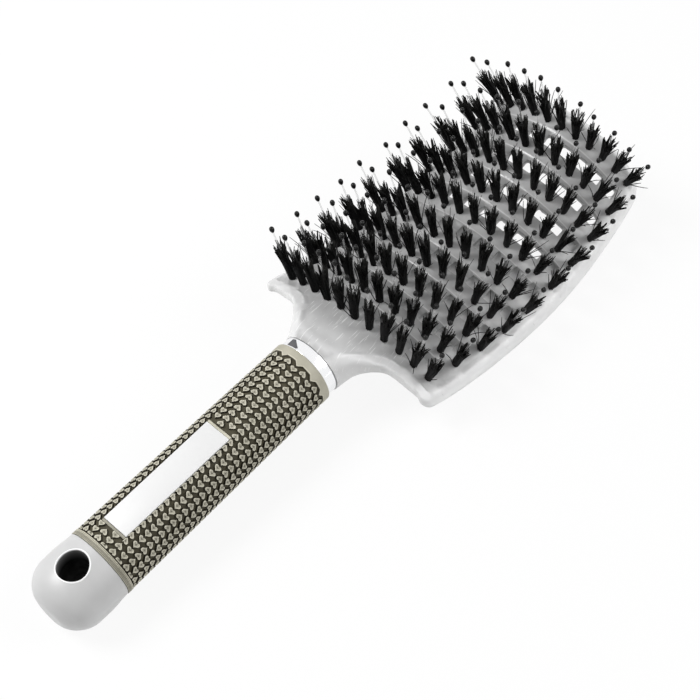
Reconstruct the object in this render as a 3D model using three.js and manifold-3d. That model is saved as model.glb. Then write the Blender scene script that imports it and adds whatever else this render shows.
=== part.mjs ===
// A curved, vented detangling brush: a wide lattice head that carries bristle tufts and
// ball-tipped pins, a bright ferrule, a rubber grip over a core, and a cap with a hanging hole.
// Millimetres. +X runs from the cap to the tip, Y is across the head, +Z is the bristle side.

import * as THREE from 'three';
import { mergeVertices } from 'three/addons/utils/BufferGeometryUtils.js';
import Module from 'manifold-3d';

const wasm = await Module();
wasm.setup();

// ---------------------------------------------------------------- driving dimensions

const seatGap = 0.3;            // clearance between pieces that seat on each other

// grip, core and cap, along the handle's axis, which is the X axis
const gripLength = 87.3;
const gripRadiusAtCap = 12.25;
const gripRadiusAtFerrule = 11.6;
const nubHeight = 0.55;         // the nub field starts this far under the smooth bands
const collarLength = 2.7;       // smooth band at the ferrule
const flangeLength = 1.6;       // smooth bands at the cap
const flangeGroove = 0.7;
const bandEdge = 0.2;           // chamfers of the smooth bands
const collarEdge = 0.3;
const coreRadius = 8.4;
const coreBoreRadius = 7.3;
const coreRibHeight = 0.7;
const coreRibWidth = 2;
const coreRibCount = 4;
const capLength = 21.2;
const capCornerRadius = 8;
const capFlattening = 0.9;      // height over width at the cap's end
const capPlugLength = 12;
const plugSink = 1;             // how deep the plug is rooted in the cap
const hangingHoleRadius = 5.1;
const hangingHoleChamfer = 0.6;
const hangingHoleInset = 12.3;  // from the cap's end

// label plate, let into the bristle side of the grip
const labelLength = 42.8;
const labelWidth = 9.6;
const labelThickness = 0.8;
const labelFaceHeight = 11.2;   // above the handle's axis
const labelInset = 7.8;         // from the cap end of the grip

// ferrule
const ferruleLength = 3.7;
const ferruleRadius = 10.9;
const ferruleBead = 0.35;
const keyLength = 2.9;
const keyWidth = 3.1;
const keyDepth = 1.2;
const keyAngle = 28 * Math.PI / 180;

// neck
const neckRadius = 11;
const neckLength = 12.9;        // from the ferrule to the head's edge
const neckFillet = 17;          // the neck's sides sweep out to the head on this radius
const neckSquareness = 5;       // of the section that meets the head; a round one has 2
const neckLap = 0.1;            // the neck stays this far inside the head's face and edge
const neckSink = 1;
const neckRootShare = 0.5;      // how far its root runs on inside the head
const neckStations = 8;
const neckPoints = 28;
const tangRadius = 6.2;
const tangLength = 26;
const tangRibWidth = 1.8;
const leadIn = 1;               // chamfer at the end of the tang and of the cap's plug

// head: the tufts stand on a grid of rows along X and columns across
const rowCount = 10;
const columnCount = 11;
const rowSpacing = 12.1;
const rowBow = 1.3;             // forward shift of a row, this far out:
const rowBowAt = 30;
const columnPitchAtNeck = 6.25; // along the arc of the face
const columnPitchAtMiddle = 7;
const columnPitchAtTip = 6.1;
const neckMargin = 7.5;         // head edge to the first row
const tipMargin = 5.2;          // last row to the tip
const sideMargin = 4.65;        // outer column to the side
const neckFlare = 2;            // added to it at the neck,
const flareLength = 48;         // and gone this far on
const tipBow = 0.6;             // how far the tip's edge falls back at rowBowAt
const tipCorner = 5;
const neckCorner = 5;
const cornerSteps = 5;
const sideSteps = 16;
const endSteps = 11;

// head: the face is hollow along the brush and crowned across it
const sweepRadius = 176;
const sweepLowest = 170.8;      // where the hollow is deepest, along X
const sweepDepth = 7.1;         // how far it lies under the handle's axis
const crownRadiusAtNeck = 68.6;
const crownRadiusAtTip = 45.7;
const plateAtNeck = 6.5;
const plateAtTip = 3.6;

// head: vents between the rows, and the raised rim
const ventLength = 4.6;
const ventWidthAtNeck = 3.9;
const ventWidthAtTip = 4.2;
const ventShift = 1;            // the last vents lie this much nearer to the row behind them
const ventColumns = 9;
const blindRows = 5;            // rows of vents, from the neck, that end on a floor
const ventFloor = 1.5;
const rimWidth = 3.2;
const rimRise = 0.8;
const rimDepth = 4;             // side wall, from the face down
const rimShoulder = 1;
const rimSlack = 0.1;
const ridgePlace = 0.5;         // the ridge's place, and its outer slope's, over the rim's width
const ridgeSlope = 0.2;
const ridgeSlopeRise = 0.3;
const rimOverlap = 0.64;        // how far the lattice reaches into the rim

// tufts
const stripWidth = 4;
const stripThickness = 1.2;
const stripEnd = 1.75;          // strip beyond the outer tuft's centre
const railWidth = 1.2;          // the two rails that join a node's strips,
const railPlace = 2.5;          // between the vents: this many vent pitches out
const pinLength = 22.3;
const pinWidth = 1;
const pinWidthAtBall = 0.8;
const ballRadius = 0.85;
const ballLength = 2.3;
const ballWidest = 0.6;         // where the ball is widest, over its length
const ballEndRadius = 0.25;
const bristleLength = 14.5;
const bristleWidth = 1.25;
const bristlesPerTuft = 3;
const tuftRadius = 1.65;
const tuftSink = 0.6;           // how deep the strands are fused into their strip
const tuftSpread = 0.07;        // lean of a bristle away from its pin, in radians
const fanShare = 0.636;         // share of the crown's slope that the pins follow
const leanAtNeck = 0.01;        // pins' lean towards the tip, in radians
const leanAtTip = -0.176;
const tuftNodes = 4;
const settlingRounds = 6;       // steps that find how the brush lies

// ---------------------------------------------------------------- materials

const material = (color, roughness, metalness = 0) =>
  new THREE.MeshStandardMaterial({ color, roughness, metalness });
const pearlPlastic = material(0xd9d9db, 0.28);
const corePlastic = material(0x8f8f8c, 0.6);
const blackBristle = material(0x141414, 0.5);
const chrome = material(0xdfe1e4, 0.12, 1);
const darkPlastic = material(0x2b2b2d, 0.45);
const gripRubber = material(0x9a9478, 0.75);
const labelWhite = material(0xf4f4f4, 0.4);

// ---------------------------------------------------------------- solids and meshes

function toSolid(geometry) {
  const bare = geometry.clone();
  bare.deleteAttribute('normal');
  bare.deleteAttribute('uv');
  const welded = mergeVertices(bare, 1e-4);
  return new wasm.Manifold(new wasm.Mesh({
    numProp: 3,
    vertProperties: new Float32Array(welded.attributes.position.array),
    triVerts: new Uint32Array(welded.index.array),
  }));
}

function toGeometry(solid) {
  const mesh = solid.getMesh();
  const geometry = new THREE.BufferGeometry();
  geometry.setAttribute('position', new THREE.BufferAttribute(mesh.vertProperties, mesh.numProp));
  geometry.setIndex(new THREE.BufferAttribute(mesh.triVerts, 1));
  geometry.computeVertexNormals();
  return geometry;
}

// A closed body from a grid of top and bottom points. Open cells are left out, and a cell for
// which floorAt gives points is a pocket down to them.
function gridSolid(countU, countV, topAt, bottomAt, isOpen = () => false, floorAt = () => null) {
  const points = [];
  for (const pointAt of [topAt, bottomAt]) {
    for (let i = 0; i < countU; i++) {
      for (let j = 0; j < countV; j++) points.push(...pointAt(i, j).toArray());
    }
  }
  const top = (i, j) => i * countV + j;
  const bottom = (i, j) => countU * countV + top(i, j);
  const index = [];
  const quad = (a, b, c, d) => index.push(a, b, c, a, c, d);
  const solidAt = (i, j) => i >= 0 && j >= 0 && i < countU - 1 && j < countV - 1 && !isOpen(i, j);
  for (let i = 0; i < countU - 1; i++) {
    for (let j = 0; j < countV - 1; j++) {
      if (!solidAt(i, j)) continue;
      const corners = [[i, j], [i + 1, j], [i + 1, j + 1], [i, j + 1]];
      const neighbours = [[i, j - 1], [i + 1, j], [i, j + 1], [i - 1, j]];
      quad(...corners.map(([u, v]) => bottom(u, v)).reverse());
      const floor = floorAt(i, j, corners);
      if (floor) {
        const start = points.length / 3;
        points.push(...floor.flatMap((point) => point.toArray()));
        quad(start, start + 1, start + 2, start + 3);
        corners.forEach((corner, side) => {
          const next = (side + 1) % 4;
          quad(start + next, start + side, top(...corner), top(...corners[next]));
        });
      } else {
        quad(...corners.map(([u, v]) => top(u, v)));
      }
      neighbours.forEach((neighbour, side) => {
        if (solidAt(...neighbour)) return;
        const from = corners[side];
        const to = corners[(side + 1) % 4];
        quad(bottom(...from), bottom(...to), top(...to), top(...from));
      });
    }
  }
  return bodyFrom(points, index);
}

// A closed body through rings of equal point counts, capped at both ends or joined to a loop.
function loftSolid(rings, closed = false) {
  const count = rings[0].length;
  const points = rings.flat().flatMap((point) => point.toArray());
  const index = [];
  const spans = closed ? rings.length : rings.length - 1;
  for (let r = 0; r < spans; r++) {
    const near = r * count;
    const far = ((r + 1) % rings.length) * count;
    for (let k = 0; k < count; k++) {
      const next = (k + 1) % count;
      index.push(near + k, near + next, far + next, near + k, far + next, far + k);
    }
  }
  if (!closed) {
    const last = (rings.length - 1) * count;
    for (let k = 1; k < count - 1; k++) {
      index.push(0, k + 1, k);
      index.push(last, last + k, last + k + 1);
    }
  }
  return bodyFrom(points, index);
}

function bodyFrom(points, index) {
  const geometry = new THREE.BufferGeometry();
  geometry.setAttribute('position', new THREE.Float32BufferAttribute(points, 3));
  geometry.setIndex(index);
  return toSolid(geometry);
}

// A body of revolution about the X axis, from [x, radius] points. The points start and end
// on the axis, or they close on themselves.
function turnedSolid(profile, segments = 36) {
  const startsOnAxis = profile[0][1] === 0;
  const closed = startsOnAxis ? profile : [...profile, profile[0]];
  const points = closed.map(([x, radius]) => new THREE.Vector2(radius, x));
  const geometry = new THREE.LatheGeometry(points, segments);
  geometry.rotateZ(-Math.PI / 2);
  return toSolid(geometry);
}

function boxSolid(sizeX, sizeY, sizeZ, x, y, z, turnX = 0) {
  const geometry = new THREE.BoxGeometry(sizeX, sizeY, sizeZ);
  geometry.translate(x, y, z);
  geometry.rotateX(turnX);
  return toSolid(geometry);
}

const joined = (solids) => solids.reduce((whole, solid) => whole.add(solid));

// ---------------------------------------------------------------- the brushing face

const rowSpan = (rowCount - 1) * rowSpacing;
const gripEnd = gripLength;
const ferruleStart = gripEnd + seatGap;
const ferruleEnd = ferruleStart + ferruleLength;
const neckStart = ferruleEnd + seatGap;
const headStart = neckStart + neckLength;
const filletStart = headStart - neckFillet;
const firstRow = headStart + neckMargin;
const tipEnd = firstRow + rowSpan + tipMargin;
const headMiddle = (headStart + tipEnd) / 2;
const headHalf = (tipEnd - headStart) / 2;

const along = (x) => (x - firstRow) / rowSpan;           // 0 at the first row, 1 at the last
const between = (atNeck, atTip, share) => atNeck + (atTip - atNeck) * share;
const crownRadius = (x) => between(crownRadiusAtNeck, crownRadiusAtTip, along(x));
const plateThickness = (x) =>
  between(plateAtNeck, plateAtTip, THREE.MathUtils.clamp(along(x), 0, 1));

function faceHeight(x, y) {
  const sweep = sweepRadius - Math.sqrt(sweepRadius ** 2 - (x - sweepLowest) ** 2);
  const crown = crownRadius(x) - Math.sqrt(crownRadius(x) ** 2 - y ** 2);
  return sweep - sweepDepth - crown;
}

// A point under the face. Vents and seats are drawn straight down along the brush, and square
// to the crown across it.
function drawnPoint(x, y, depth = 0) {
  const crownSlope = y / Math.sqrt(crownRadius(x) ** 2 - y ** 2);
  const up = new THREE.Vector3(0, crownSlope, 1).normalize();
  return new THREE.Vector3(x, y, faceHeight(x, y)).addScaledVector(up, -depth);
}

// Distance between columns, along the arc: narrow at the neck and the tip, wide between.
function columnPitch(x) {
  const share = 2 * along(x) - 1;
  const ends = (columnPitchAtNeck + columnPitchAtTip) / 2;
  const tilt = (columnPitchAtTip - columnPitchAtNeck) / 2;
  return columnPitchAtMiddle + tilt * share + (ends - columnPitchAtMiddle) * share ** 2;
}

const ventPitch = (x) => columnPitch(x) * (columnCount - 2) / (ventColumns - 1);
const acrossAt = (x, arc) => crownRadius(x) * Math.sin(arc / crownRadius(x));
const outerColumn = (columnCount - 1) / 2;
const bowed = (x, y) => x + rowBow * (y / rowBowAt) ** 2;
const rowX = (row) => firstRow + row * rowSpacing;

function halfWidth(x) {
  const flare = neckFlare * THREE.MathUtils.clamp(1 - (x - firstRow) / flareLength, 0, 1) ** 2;
  return acrossAt(x, outerColumn * columnPitch(x)) + sideMargin + flare;
}

// ---------------------------------------------------------------- head frame

// The tip's edge falls back towards its corners, and the neck's edge runs straight.
function outlinePoint(x, share) {
  const y = share * halfWidth(x);
  const towardsTip = THREE.MathUtils.clamp((x - headMiddle) / headHalf, 0, 1) ** 2;
  return new THREE.Vector2(x - towardsTip * tipBow * (y / rowBowAt) ** 2, y);
}

// A rectangle with round corners, drawn out to the barrel shape of the head.
function headOutline() {
  const width = halfWidth(headMiddle);
  const quarter = Math.PI / 2;
  const corners = [
    [headStart + neckCorner, neckCorner - width, neckCorner, sideSteps],
    [tipEnd - tipCorner, tipCorner - width, tipCorner, endSteps],
    [tipEnd - tipCorner, width - tipCorner, tipCorner, sideSteps],
    [headStart + neckCorner, width - neckCorner, neckCorner, endSteps],
  ];
  const onCorner = (k, turn) => {
    const [x, y, radius] = corners[k % corners.length];
    const angle = (k + 2 + turn) * quarter;
    return new THREE.Vector2(x + radius * Math.cos(angle), y + radius * Math.sin(angle));
  };
  const points = [];
  corners.forEach(([, , , steps], k) => {
    for (let step = 0; step <= cornerSteps; step++) points.push(onCorner(k, step / cornerSteps));
    for (let step = 1; step < steps; step++) {
      points.push(onCorner(k, 1).lerp(onCorner(k + 1, 0), step / steps));
    }
  });
  return points.map((point) => outlinePoint(point.x, point.y / width));
}

// The share of the neck's edge of the head that lies outside the neck: 0 on it, 1 well beside it.
function besideNeck(x, y) {
  if (x > firstRow) return 1;
  return THREE.MathUtils.smoothstep(Math.abs(y), neckRadius, 2 * neckRadius);
}

// The head is as deep as its rim along the edge, and as its plate where the neck joins.
const edgeDepth = (x, y) => between(plateAtNeck, rimDepth, besideNeck(x, y));

// The rim's section as [distance in from the outline, height over the face]. Its ridge dies
// away where the neck runs into the head.
function rimSection(x, y) {
  const under = -edgeDepth(x, y) - rimSlack;
  const ridge = rimRise * besideNeck(x, y) + rimSlack;
  return [
    [rimWidth, under],
    [rimWidth, -rimSlack],
    [rimWidth * ridgePlace, ridge],
    [rimWidth * ridgeSlope, ridge * ridgeSlopeRise],
    [0, -rimShoulder],
    [0, under + rimShoulder],
    [rimShoulder, under],
  ];
}

function rimSolid() {
  const outline = headOutline();
  const rings = outline.map((point, k) => {
    const before = outline.at(k - 1);
    const after = outline[(k + 1) % outline.length];
    const inward = new THREE.Vector2(before.y - after.y, after.x - before.x).normalize();
    return rimSection(point.x, point.y).map(([inset, height]) => {
      const x = point.x + inward.x * inset;
      const y = point.y + inward.y * inset;
      return new THREE.Vector3(x, y, faceHeight(x, y) + height);
    });
  });
  return loftSolid(rings, true);
}

// The lattice inside the rim: bars across for the rows, ribs between the vents. The vents
// near the neck are blind, because the handle's tongue runs on under them.
function latticeSolid() {
  const edge = rimWidth - rimOverlap;
  const lines = [headStart + edge];
  for (let row = 0; row < rowCount - 1; row++) {
    const even = rowX(row) + rowSpacing / 2;
    const middle = even - ventShift * Math.max(0, 2 * along(even) - 1);
    lines.push(middle - ventLength / 2, middle + ventLength / 2);
  }
  lines.push(tipEnd - edge);
  const last = lines.length - 1;
  const countV = 2 * ventColumns + 2;

  const lineAcross = (i, y) => {
    const nominal = lines[i];
    if (i === 0) return [nominal, y];
    if (i === last) return [nominal - tipBow * (y / rowBowAt) ** 2, y];
    return [bowed(nominal, y), y];
  };
  const planPoint = (i, j) => {
    const nominal = lines[i];
    if (j === 0) return lineAcross(i, edge - halfWidth(nominal));
    if (j === countV - 1) return lineAcross(i, halfWidth(nominal) - edge);
    const vent = Math.floor((j - 1) / 2) - (ventColumns - 1) / 2;
    const side = j % 2 === 1 ? -0.5 : 0.5;
    const width = between(ventWidthAtNeck, ventWidthAtTip, along(nominal));
    return lineAcross(i, acrossAt(nominal, vent * ventPitch(nominal) + side * width));
  };
  const topAt = (i, j) => drawnPoint(...planPoint(i, j));
  const bottomAt = (i, j) => {
    const [x, y] = planPoint(i, j);
    const onEdge = i === 0 || i === last || j === 0 || j === countV - 1;
    if (onEdge) return new THREE.Vector3(x, y, faceHeight(x, y) - edgeDepth(x, y));
    return drawnPoint(x, y, plateThickness(x));
  };
  const isVent = (i, j) => i % 2 === 1 && j % 2 === 1;
  const isBlind = (i, j) => isVent(i, j) && i < 2 * blindRows;
  const floorAt = (i, j, corners) => isBlind(i, j) && corners.map((corner) => {
    const [x, y] = planPoint(...corner);
    return drawnPoint(x, y, plateThickness(x) - ventFloor);
  });
  const isOpen = (i, j) => isVent(i, j) && !isBlind(i, j);
  return gridSolid(lines.length, countV, topAt, bottomAt, isOpen, floorAt);
}

// The neck: round at the ferrule, and spread to the head's edge by its two fillets.
function neckSolid() {
  const rings = [];
  for (let k = 0; k < neckStations; k++) {
    const share = Math.sin((k / (neckStations - 1)) * Math.PI / 2);
    const x = neckStart + share * (neckLength - neckLap);
    rings.push(neckRing(x, neckHalfWidth(x), share));
  }
  rings.push(neckRing(headStart + neckMargin * neckRootShare, neckRadius, 1, neckSink));
  return loftSolid(rings);
}

function neckHalfWidth(x) {
  const reach = THREE.MathUtils.clamp(x - filletStart, 0, neckFillet);
  return neckRadius + neckFillet - Math.sqrt(neckFillet ** 2 - reach ** 2);
}

// One section of the neck. blend runs from the round end, 0, to the head's plate, 1, and sink
// draws the last section inside the plate.
function neckRing(x, half, blend, sink = 0) {
  const smooth = THREE.MathUtils.smoothstep(blend, 0, 1);
  const power = 2 / between(2, neckSquareness, smooth);
  const topHere = between(neckRadius, faceHeight(x, 0) - neckLap, smooth);
  const plateUnder = faceHeight(x, 0) - plateThickness(x) + neckLap;
  const bottomHere = between(-neckRadius, plateUnder, smooth);
  const middle = (topHere + bottomHere) / 2;
  const rise = (topHere - bottomHere) / 2 - sink;
  const signedPower = (value) => Math.sign(value) * Math.abs(value) ** power;
  const ring = [];
  for (let k = 0; k < neckPoints; k++) {
    const angle = (2 * Math.PI * k) / neckPoints;
    const y = half * signedPower(Math.cos(angle));
    const crown = crownRadius(x) - Math.sqrt(crownRadius(x) ** 2 - y ** 2);
    const z = middle + rise * signedPower(Math.sin(angle)) - smooth * crown;
    ring.push(new THREE.Vector3(x, y, z));
  }
  return ring;
}

// The tang plugs into the core: a round stem with four ribs that fit the bore.
function tangSolid() {
  const ribReach = coreBoreRadius - seatGap;
  const start = neckStart - tangLength;
  const end = neckStart + neckSink;
  const stem = turnedSolid([[start, 0], [start, tangRadius - leadIn],
    [start + leadIn, tangRadius], [end, tangRadius], [end, 0]], 24);
  const ribLength = end - start - 2 * leadIn;
  const ribCentre = end - ribLength / 2;
  const ribs = [0, Math.PI / 2].map((turn) =>
    boxSolid(ribLength, 2 * ribReach, tangRibWidth, ribCentre, 0, 0, turn));
  return joined([stem, ...ribs]);
}

// The slice of the face that carries some rows of tufts: a strip for each row, and two rails
// that run between the vents and join the strips. grow widens it to cut its seat.
function backingSolid(firstStrip, lastStrip, grow = 0) {
  const lines = [];
  for (let row = firstStrip; row <= lastStrip; row++) {
    lines.push(rowX(row) - stripWidth / 2 - grow, rowX(row) + stripWidth / 2 + grow);
  }
  const acrossLines = (x) => {
    const end = outerColumn * columnPitch(x) + stripEnd + grow;
    const rail = railPlace * ventPitch(x);
    const inner = rail - railWidth / 2 - grow;
    const outer = rail + railWidth / 2 + grow;
    const half = [inner / 5, inner * 3 / 5, inner, outer, (outer + end) / 2, end];
    return [...half.map((arc) => -arc).reverse(), ...half];
  };
  const leftRail = 2;
  const rightRail = 8;
  const pointAt = (i, j, depth) => {
    const y = acrossAt(lines[i], acrossLines(lines[i])[j]);
    return drawnPoint(bowed(lines[i], y), y, depth);
  };
  return gridSolid(
    lines.length,
    acrossLines(lines[0]).length,
    (i, j) => pointAt(i, j, -3 * grow),
    (i, j) => pointAt(i, j, stripThickness + grow),
    (i, j) => i % 2 === 1 && j !== leftRail && j !== rightRail,
  );
}

function headFrame() {
  let head = joined([latticeSolid(), rimSolid(), neckSolid(), tangSolid()]);
  for (let node = 0; node < tuftNodes; node++) {
    head = head.subtract(backingSolid(...rowsOf(node), seatGap));
  }
  return head;
}

// ---------------------------------------------------------------- tufts and pins

// The way a pin stands: it follows part of the crown's slope and leans along the brush.
function pinDirection(x, y) {
  const lean = between(leanAtNeck, leanAtTip, along(x));
  const fan = fanShare * Math.asin(y / crownRadius(x));
  return new THREE.Vector3(
    Math.sin(lean),
    Math.cos(lean) * Math.sin(fan),
    Math.cos(lean) * Math.cos(fan),
  );
}

// A strand drawn up the Y axis, stood on its root in the given direction.
function standing(geometry, root, direction) {
  const up = new THREE.Vector3(0, 1, 0);
  geometry.applyQuaternion(new THREE.Quaternion().setFromUnitVectors(up, direction));
  geometry.translate(root.x, root.y, root.z);
  return toSolid(geometry);
}

function pinSolid(root, direction) {
  const neckOfBall = pinLength + tuftSink - ballLength / 2;
  const top = neckOfBall + ballLength;
  const geometry = new THREE.LatheGeometry([
    new THREE.Vector2(0, 0),
    new THREE.Vector2(pinWidth / 2, 0),
    new THREE.Vector2(pinWidthAtBall / 2, neckOfBall),
    new THREE.Vector2(ballRadius, neckOfBall + ballLength * ballWidest),
    new THREE.Vector2(ballEndRadius, top),
    new THREE.Vector2(0, top),
  ], 4);
  return standing(geometry, root, direction);
}

// A bristle is a pointed strand of three sides, with a corner turned away from the pin.
function bristleSolid(root, direction, turn) {
  const length = bristleLength + tuftSink;
  const geometry = new THREE.ConeGeometry(bristleWidth / 2, length, 3);
  geometry.translate(0, length / 2, 0);
  geometry.rotateY(turn + Math.PI / 2);
  return standing(geometry, root, direction);
}

function tuftStrands(row, column) {
  const nominal = rowX(row);
  const y = acrossAt(nominal, column * columnPitch(nominal));
  const x = bowed(nominal, y);
  const root = drawnPoint(x, y, tuftSink);
  const direction = pinDirection(x, y);
  const strands = [pinSolid(root, direction)];
  for (let k = 0; k < bristlesPerTuft; k++) {
    const turn = (2 * Math.PI * (k + 0.5)) / bristlesPerTuft;
    const outward = new THREE.Vector3(Math.cos(turn), Math.sin(turn), 0);
    outward.addScaledVector(direction, -outward.dot(direction)).normalize();
    const start = root.clone().addScaledVector(outward, tuftRadius - bristleWidth / 2);
    const way = direction.clone().addScaledVector(outward, tuftSpread).normalize();
    strands.push(bristleSolid(start, way, turn));
  }
  return strands;
}

// Rows are shared out among the tuft nodes, from the neck to the tip.
function rowsOf(node) {
  const first = Math.round((node * rowCount) / tuftNodes);
  const last = Math.round(((node + 1) * rowCount) / tuftNodes) - 1;
  return [first, last];
}

function tuftRows(node) {
  const [first, last] = rowsOf(node);
  const solids = [backingSolid(first, last)];
  for (let row = first; row <= last; row++) {
    for (let column = -outerColumn; column <= outerColumn; column++) {
      solids.push(...tuftStrands(row, column));
    }
  }
  return wasm.Manifold.union(solids);
}

// ---------------------------------------------------------------- ferrule, grip, core, cap

function ferruleRing() {
  const bore = coreBoreRadius;
  const ring = turnedSolid([
    [ferruleStart, bore], [ferruleStart, ferruleRadius - ferruleBead],
    [ferruleStart + ferruleBead, ferruleRadius], [ferruleEnd - ferruleBead, ferruleRadius],
    [ferruleEnd, ferruleRadius - ferruleBead], [ferruleEnd, bore],
  ]);
  return ring.subtract(keyBlock(seatGap));
}

// The dark key sits in a notch at the grip's side of the ferrule; grow cuts the notch.
function keyBlock(grow = 0) {
  const top = grow > 0 ? 1 : 0;
  const height = keyDepth + grow + top;
  return boxSolid(
    keyLength + 2 * grow,
    keyWidth + 2 * grow,
    height,
    ferruleStart + keyLength / 2,
    0,
    ferruleRadius - ferruleBead - keyDepth - grow + height / 2,
    -keyAngle,
  );
}

const sleeveBore = coreRadius + coreRibHeight + seatGap;
const gripRadius = (x) => between(gripRadiusAtCap, gripRadiusAtFerrule, x / gripLength);

function gripSleeve() {
  const fieldStart = 2 * flangeLength + 2 * flangeGroove;
  const fieldEnd = gripLength - collarLength;
  const profile = [[0, sleeveBore]];
  for (const start of [0, flangeLength + flangeGroove]) {
    const end = start + flangeLength;
    profile.push([start, gripRadius(start) - nubHeight], [start + bandEdge, gripRadius(start)]);
    profile.push([end - bandEdge, gripRadius(end)], [end, gripRadius(end) - nubHeight]);
  }
  profile.push([fieldStart, gripRadius(fieldStart) - nubHeight]);
  profile.push([fieldEnd, gripRadius(fieldEnd) - nubHeight]);
  profile.push([fieldEnd + collarEdge, gripRadius(fieldEnd)]);
  profile.push([gripLength - collarEdge, gripRadius(gripLength)]);
  profile.push([gripLength, gripRadius(gripLength) - collarEdge], [gripLength, sleeveBore]);
  return turnedSolid(profile, 40).subtract(labelBlock(seatGap));
}

function labelBlock(grow = 0) {
  const open = grow > 0 ? gripRadiusAtCap : 0;
  const height = labelThickness + grow + open;
  return boxSolid(
    labelLength + 2 * grow,
    labelWidth + 2 * grow,
    height,
    labelInset + labelLength / 2,
    0,
    labelFaceHeight - labelThickness - grow + height / 2,
  );
}

function handleCore() {
  const start = seatGap;
  const end = gripLength;
  const tube = turnedSolid([[start, coreBoreRadius], [start, coreRadius], [end, coreRadius],
    [end, coreBoreRadius]]);
  const ribFoot = (coreBoreRadius + coreRadius) / 2;
  const ribHeight = coreRadius + coreRibHeight - ribFoot;
  const ribs = [];
  for (let k = 0; k < coreRibCount; k++) {
    const turn = (2 * Math.PI * (k + 0.5)) / coreRibCount;
    ribs.push(boxSolid(end - start, coreRibWidth, ribHeight, (start + end) / 2, 0,
      ribFoot + ribHeight / 2, turn));
  }
  return joined([tube, ...ribs]);
}

// The cap: the grip's round section, drawn in to a blunt end with round corners.
function endCap() {
  const pointCount = 32;
  const startX = -seatGap;
  const straight = capLength - capCornerRadius;
  const rings = [capRing(startX, gripRadiusAtCap, pointCount)];
  const stages = 6;
  for (let k = 0; k <= stages; k++) {
    const turn = (k / stages) * 0.5 * Math.PI;
    const x = -straight - capCornerRadius * Math.sin(turn);
    const drawnIn = capCornerRadius * (1 - Math.cos(turn));
    rings.push(capRing(x, gripRadiusAtCap - drawnIn, pointCount));
  }
  const body = loftSolid(rings.reverse());
  const plugRadius = coreBoreRadius - seatGap;
  const plug = turnedSolid([[-plugSink, 0], [-plugSink, plugRadius],
    [capPlugLength - leadIn, plugRadius], [capPlugLength, plugRadius - leadIn],
    [capPlugLength, 0]], 24);
  return joined([body, plug]).subtract(hangingHole());
}

function capRing(x, radius, pointCount) {
  const share = THREE.MathUtils.clamp(-x / capLength, 0, 1);
  const height = between(1, capFlattening, share);
  const ring = [];
  for (let k = 0; k < pointCount; k++) {
    const angle = (2 * Math.PI * k) / pointCount;
    ring.push(new THREE.Vector3(x, radius * Math.cos(angle), radius * height * Math.sin(angle)));
  }
  return ring;
}

function hangingHole() {
  const mouth = gripRadiusAtCap * capFlattening;
  const reach = gripRadiusAtCap + hangingHoleChamfer;
  const wide = hangingHoleRadius + hangingHoleChamfer;
  const widest = wide + reach - mouth;
  const profile = [[-reach, 0], [-reach, widest], [-mouth, wide],
    [hangingHoleChamfer - mouth, hangingHoleRadius], [mouth - hangingHoleChamfer, hangingHoleRadius],
    [mouth, wide], [reach, widest], [reach, 0]];
  const geometry = new THREE.LatheGeometry(
    [...profile, profile[0]].map(([height, radius]) => new THREE.Vector2(radius, height)), 24);
  geometry.rotateX(Math.PI / 2);
  geometry.translate(hangingHoleInset - capLength, 0, 0);
  return toSolid(geometry);
}

// ---------------------------------------------------------------- assembly

const brush = new THREE.Group();

function addPiece(name, solid, look) {
  const mesh = new THREE.Mesh(toGeometry(solid), look);
  mesh.name = name;
  brush.add(mesh);
}

addPiece('head_frame', headFrame(), pearlPlastic);
for (let node = 0; node < tuftNodes; node++) {
  addPiece(`tuft_rows_${node + 1}`, tuftRows(node), blackBristle);
}
addPiece('ferrule_ring', ferruleRing(), chrome);
addPiece('ferrule_key', keyBlock(), darkPlastic);
addPiece('grip_sleeve', gripSleeve(), gripRubber);
addPiece('label_plate', labelBlock(), labelWhite);
addPiece('handle_core', handleCore(), corePlastic);
addPiece('end_cap', endCap(), pearlPlastic);

// The brush lies on its back, on the head's two side edges and the cap, so its handle's axis
// slopes. The slope is the one that brings both ends' lowest points to one level.
function lowestPoint(names, slope) {
  const turn = new THREE.Matrix4().makeRotationY(slope);
  const point = new THREE.Vector3();
  let lowest = null;
  for (const name of names) {
    const corners = brush.getObjectByName(name).geometry.attributes.position;
    for (let k = 0; k < corners.count; k++) {
      const height = point.fromBufferAttribute(corners, k).applyMatrix4(turn).z;
      if (!lowest || height < lowest.height) {
        lowest = { height, corner: new THREE.Vector3().fromBufferAttribute(corners, k) };
      }
    }
  }
  return lowest.corner;
}

let restSlope = 0;
for (let round = 0; round < settlingRounds; round++) {
  const underHandle = lowestPoint(['end_cap', 'grip_sleeve'], restSlope);
  const underHead = lowestPoint(['head_frame'], restSlope);
  restSlope = Math.atan((underHead.z - underHandle.z) / (underHead.x - underHandle.x));
}
brush.rotation.y = restSlope;

// The origin is under the middle of the brush, on the surface that it lies on.
const lying = new THREE.Group();
lying.add(brush);
const bounds = new THREE.Box3().setFromObject(lying, true);
const middle = bounds.getCenter(new THREE.Vector3());
lying.position.set(-middle.x, -middle.y, -bounds.min.z);

export default lying;
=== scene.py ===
"""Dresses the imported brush: a smooth vented head, full bristle tufts, a nubbed grip and finishes.

Shapes are drawn in the brush's own frame, in millimetres: X runs along the handle's axis from
the cap's joint at 0 to the tip, Y is across the head and Z is up on the bristle side. LIE then
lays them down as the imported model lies.
"""

import random
from math import asin, atan2, copysign, cos, hypot, pi, radians, sin, sqrt

import bmesh
import bpy
import numpy as np
from mathutils import Matrix, Vector
from mathutils.geometry import delaunay_2d_cdt
from mathutils.kdtree import KDTree


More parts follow.
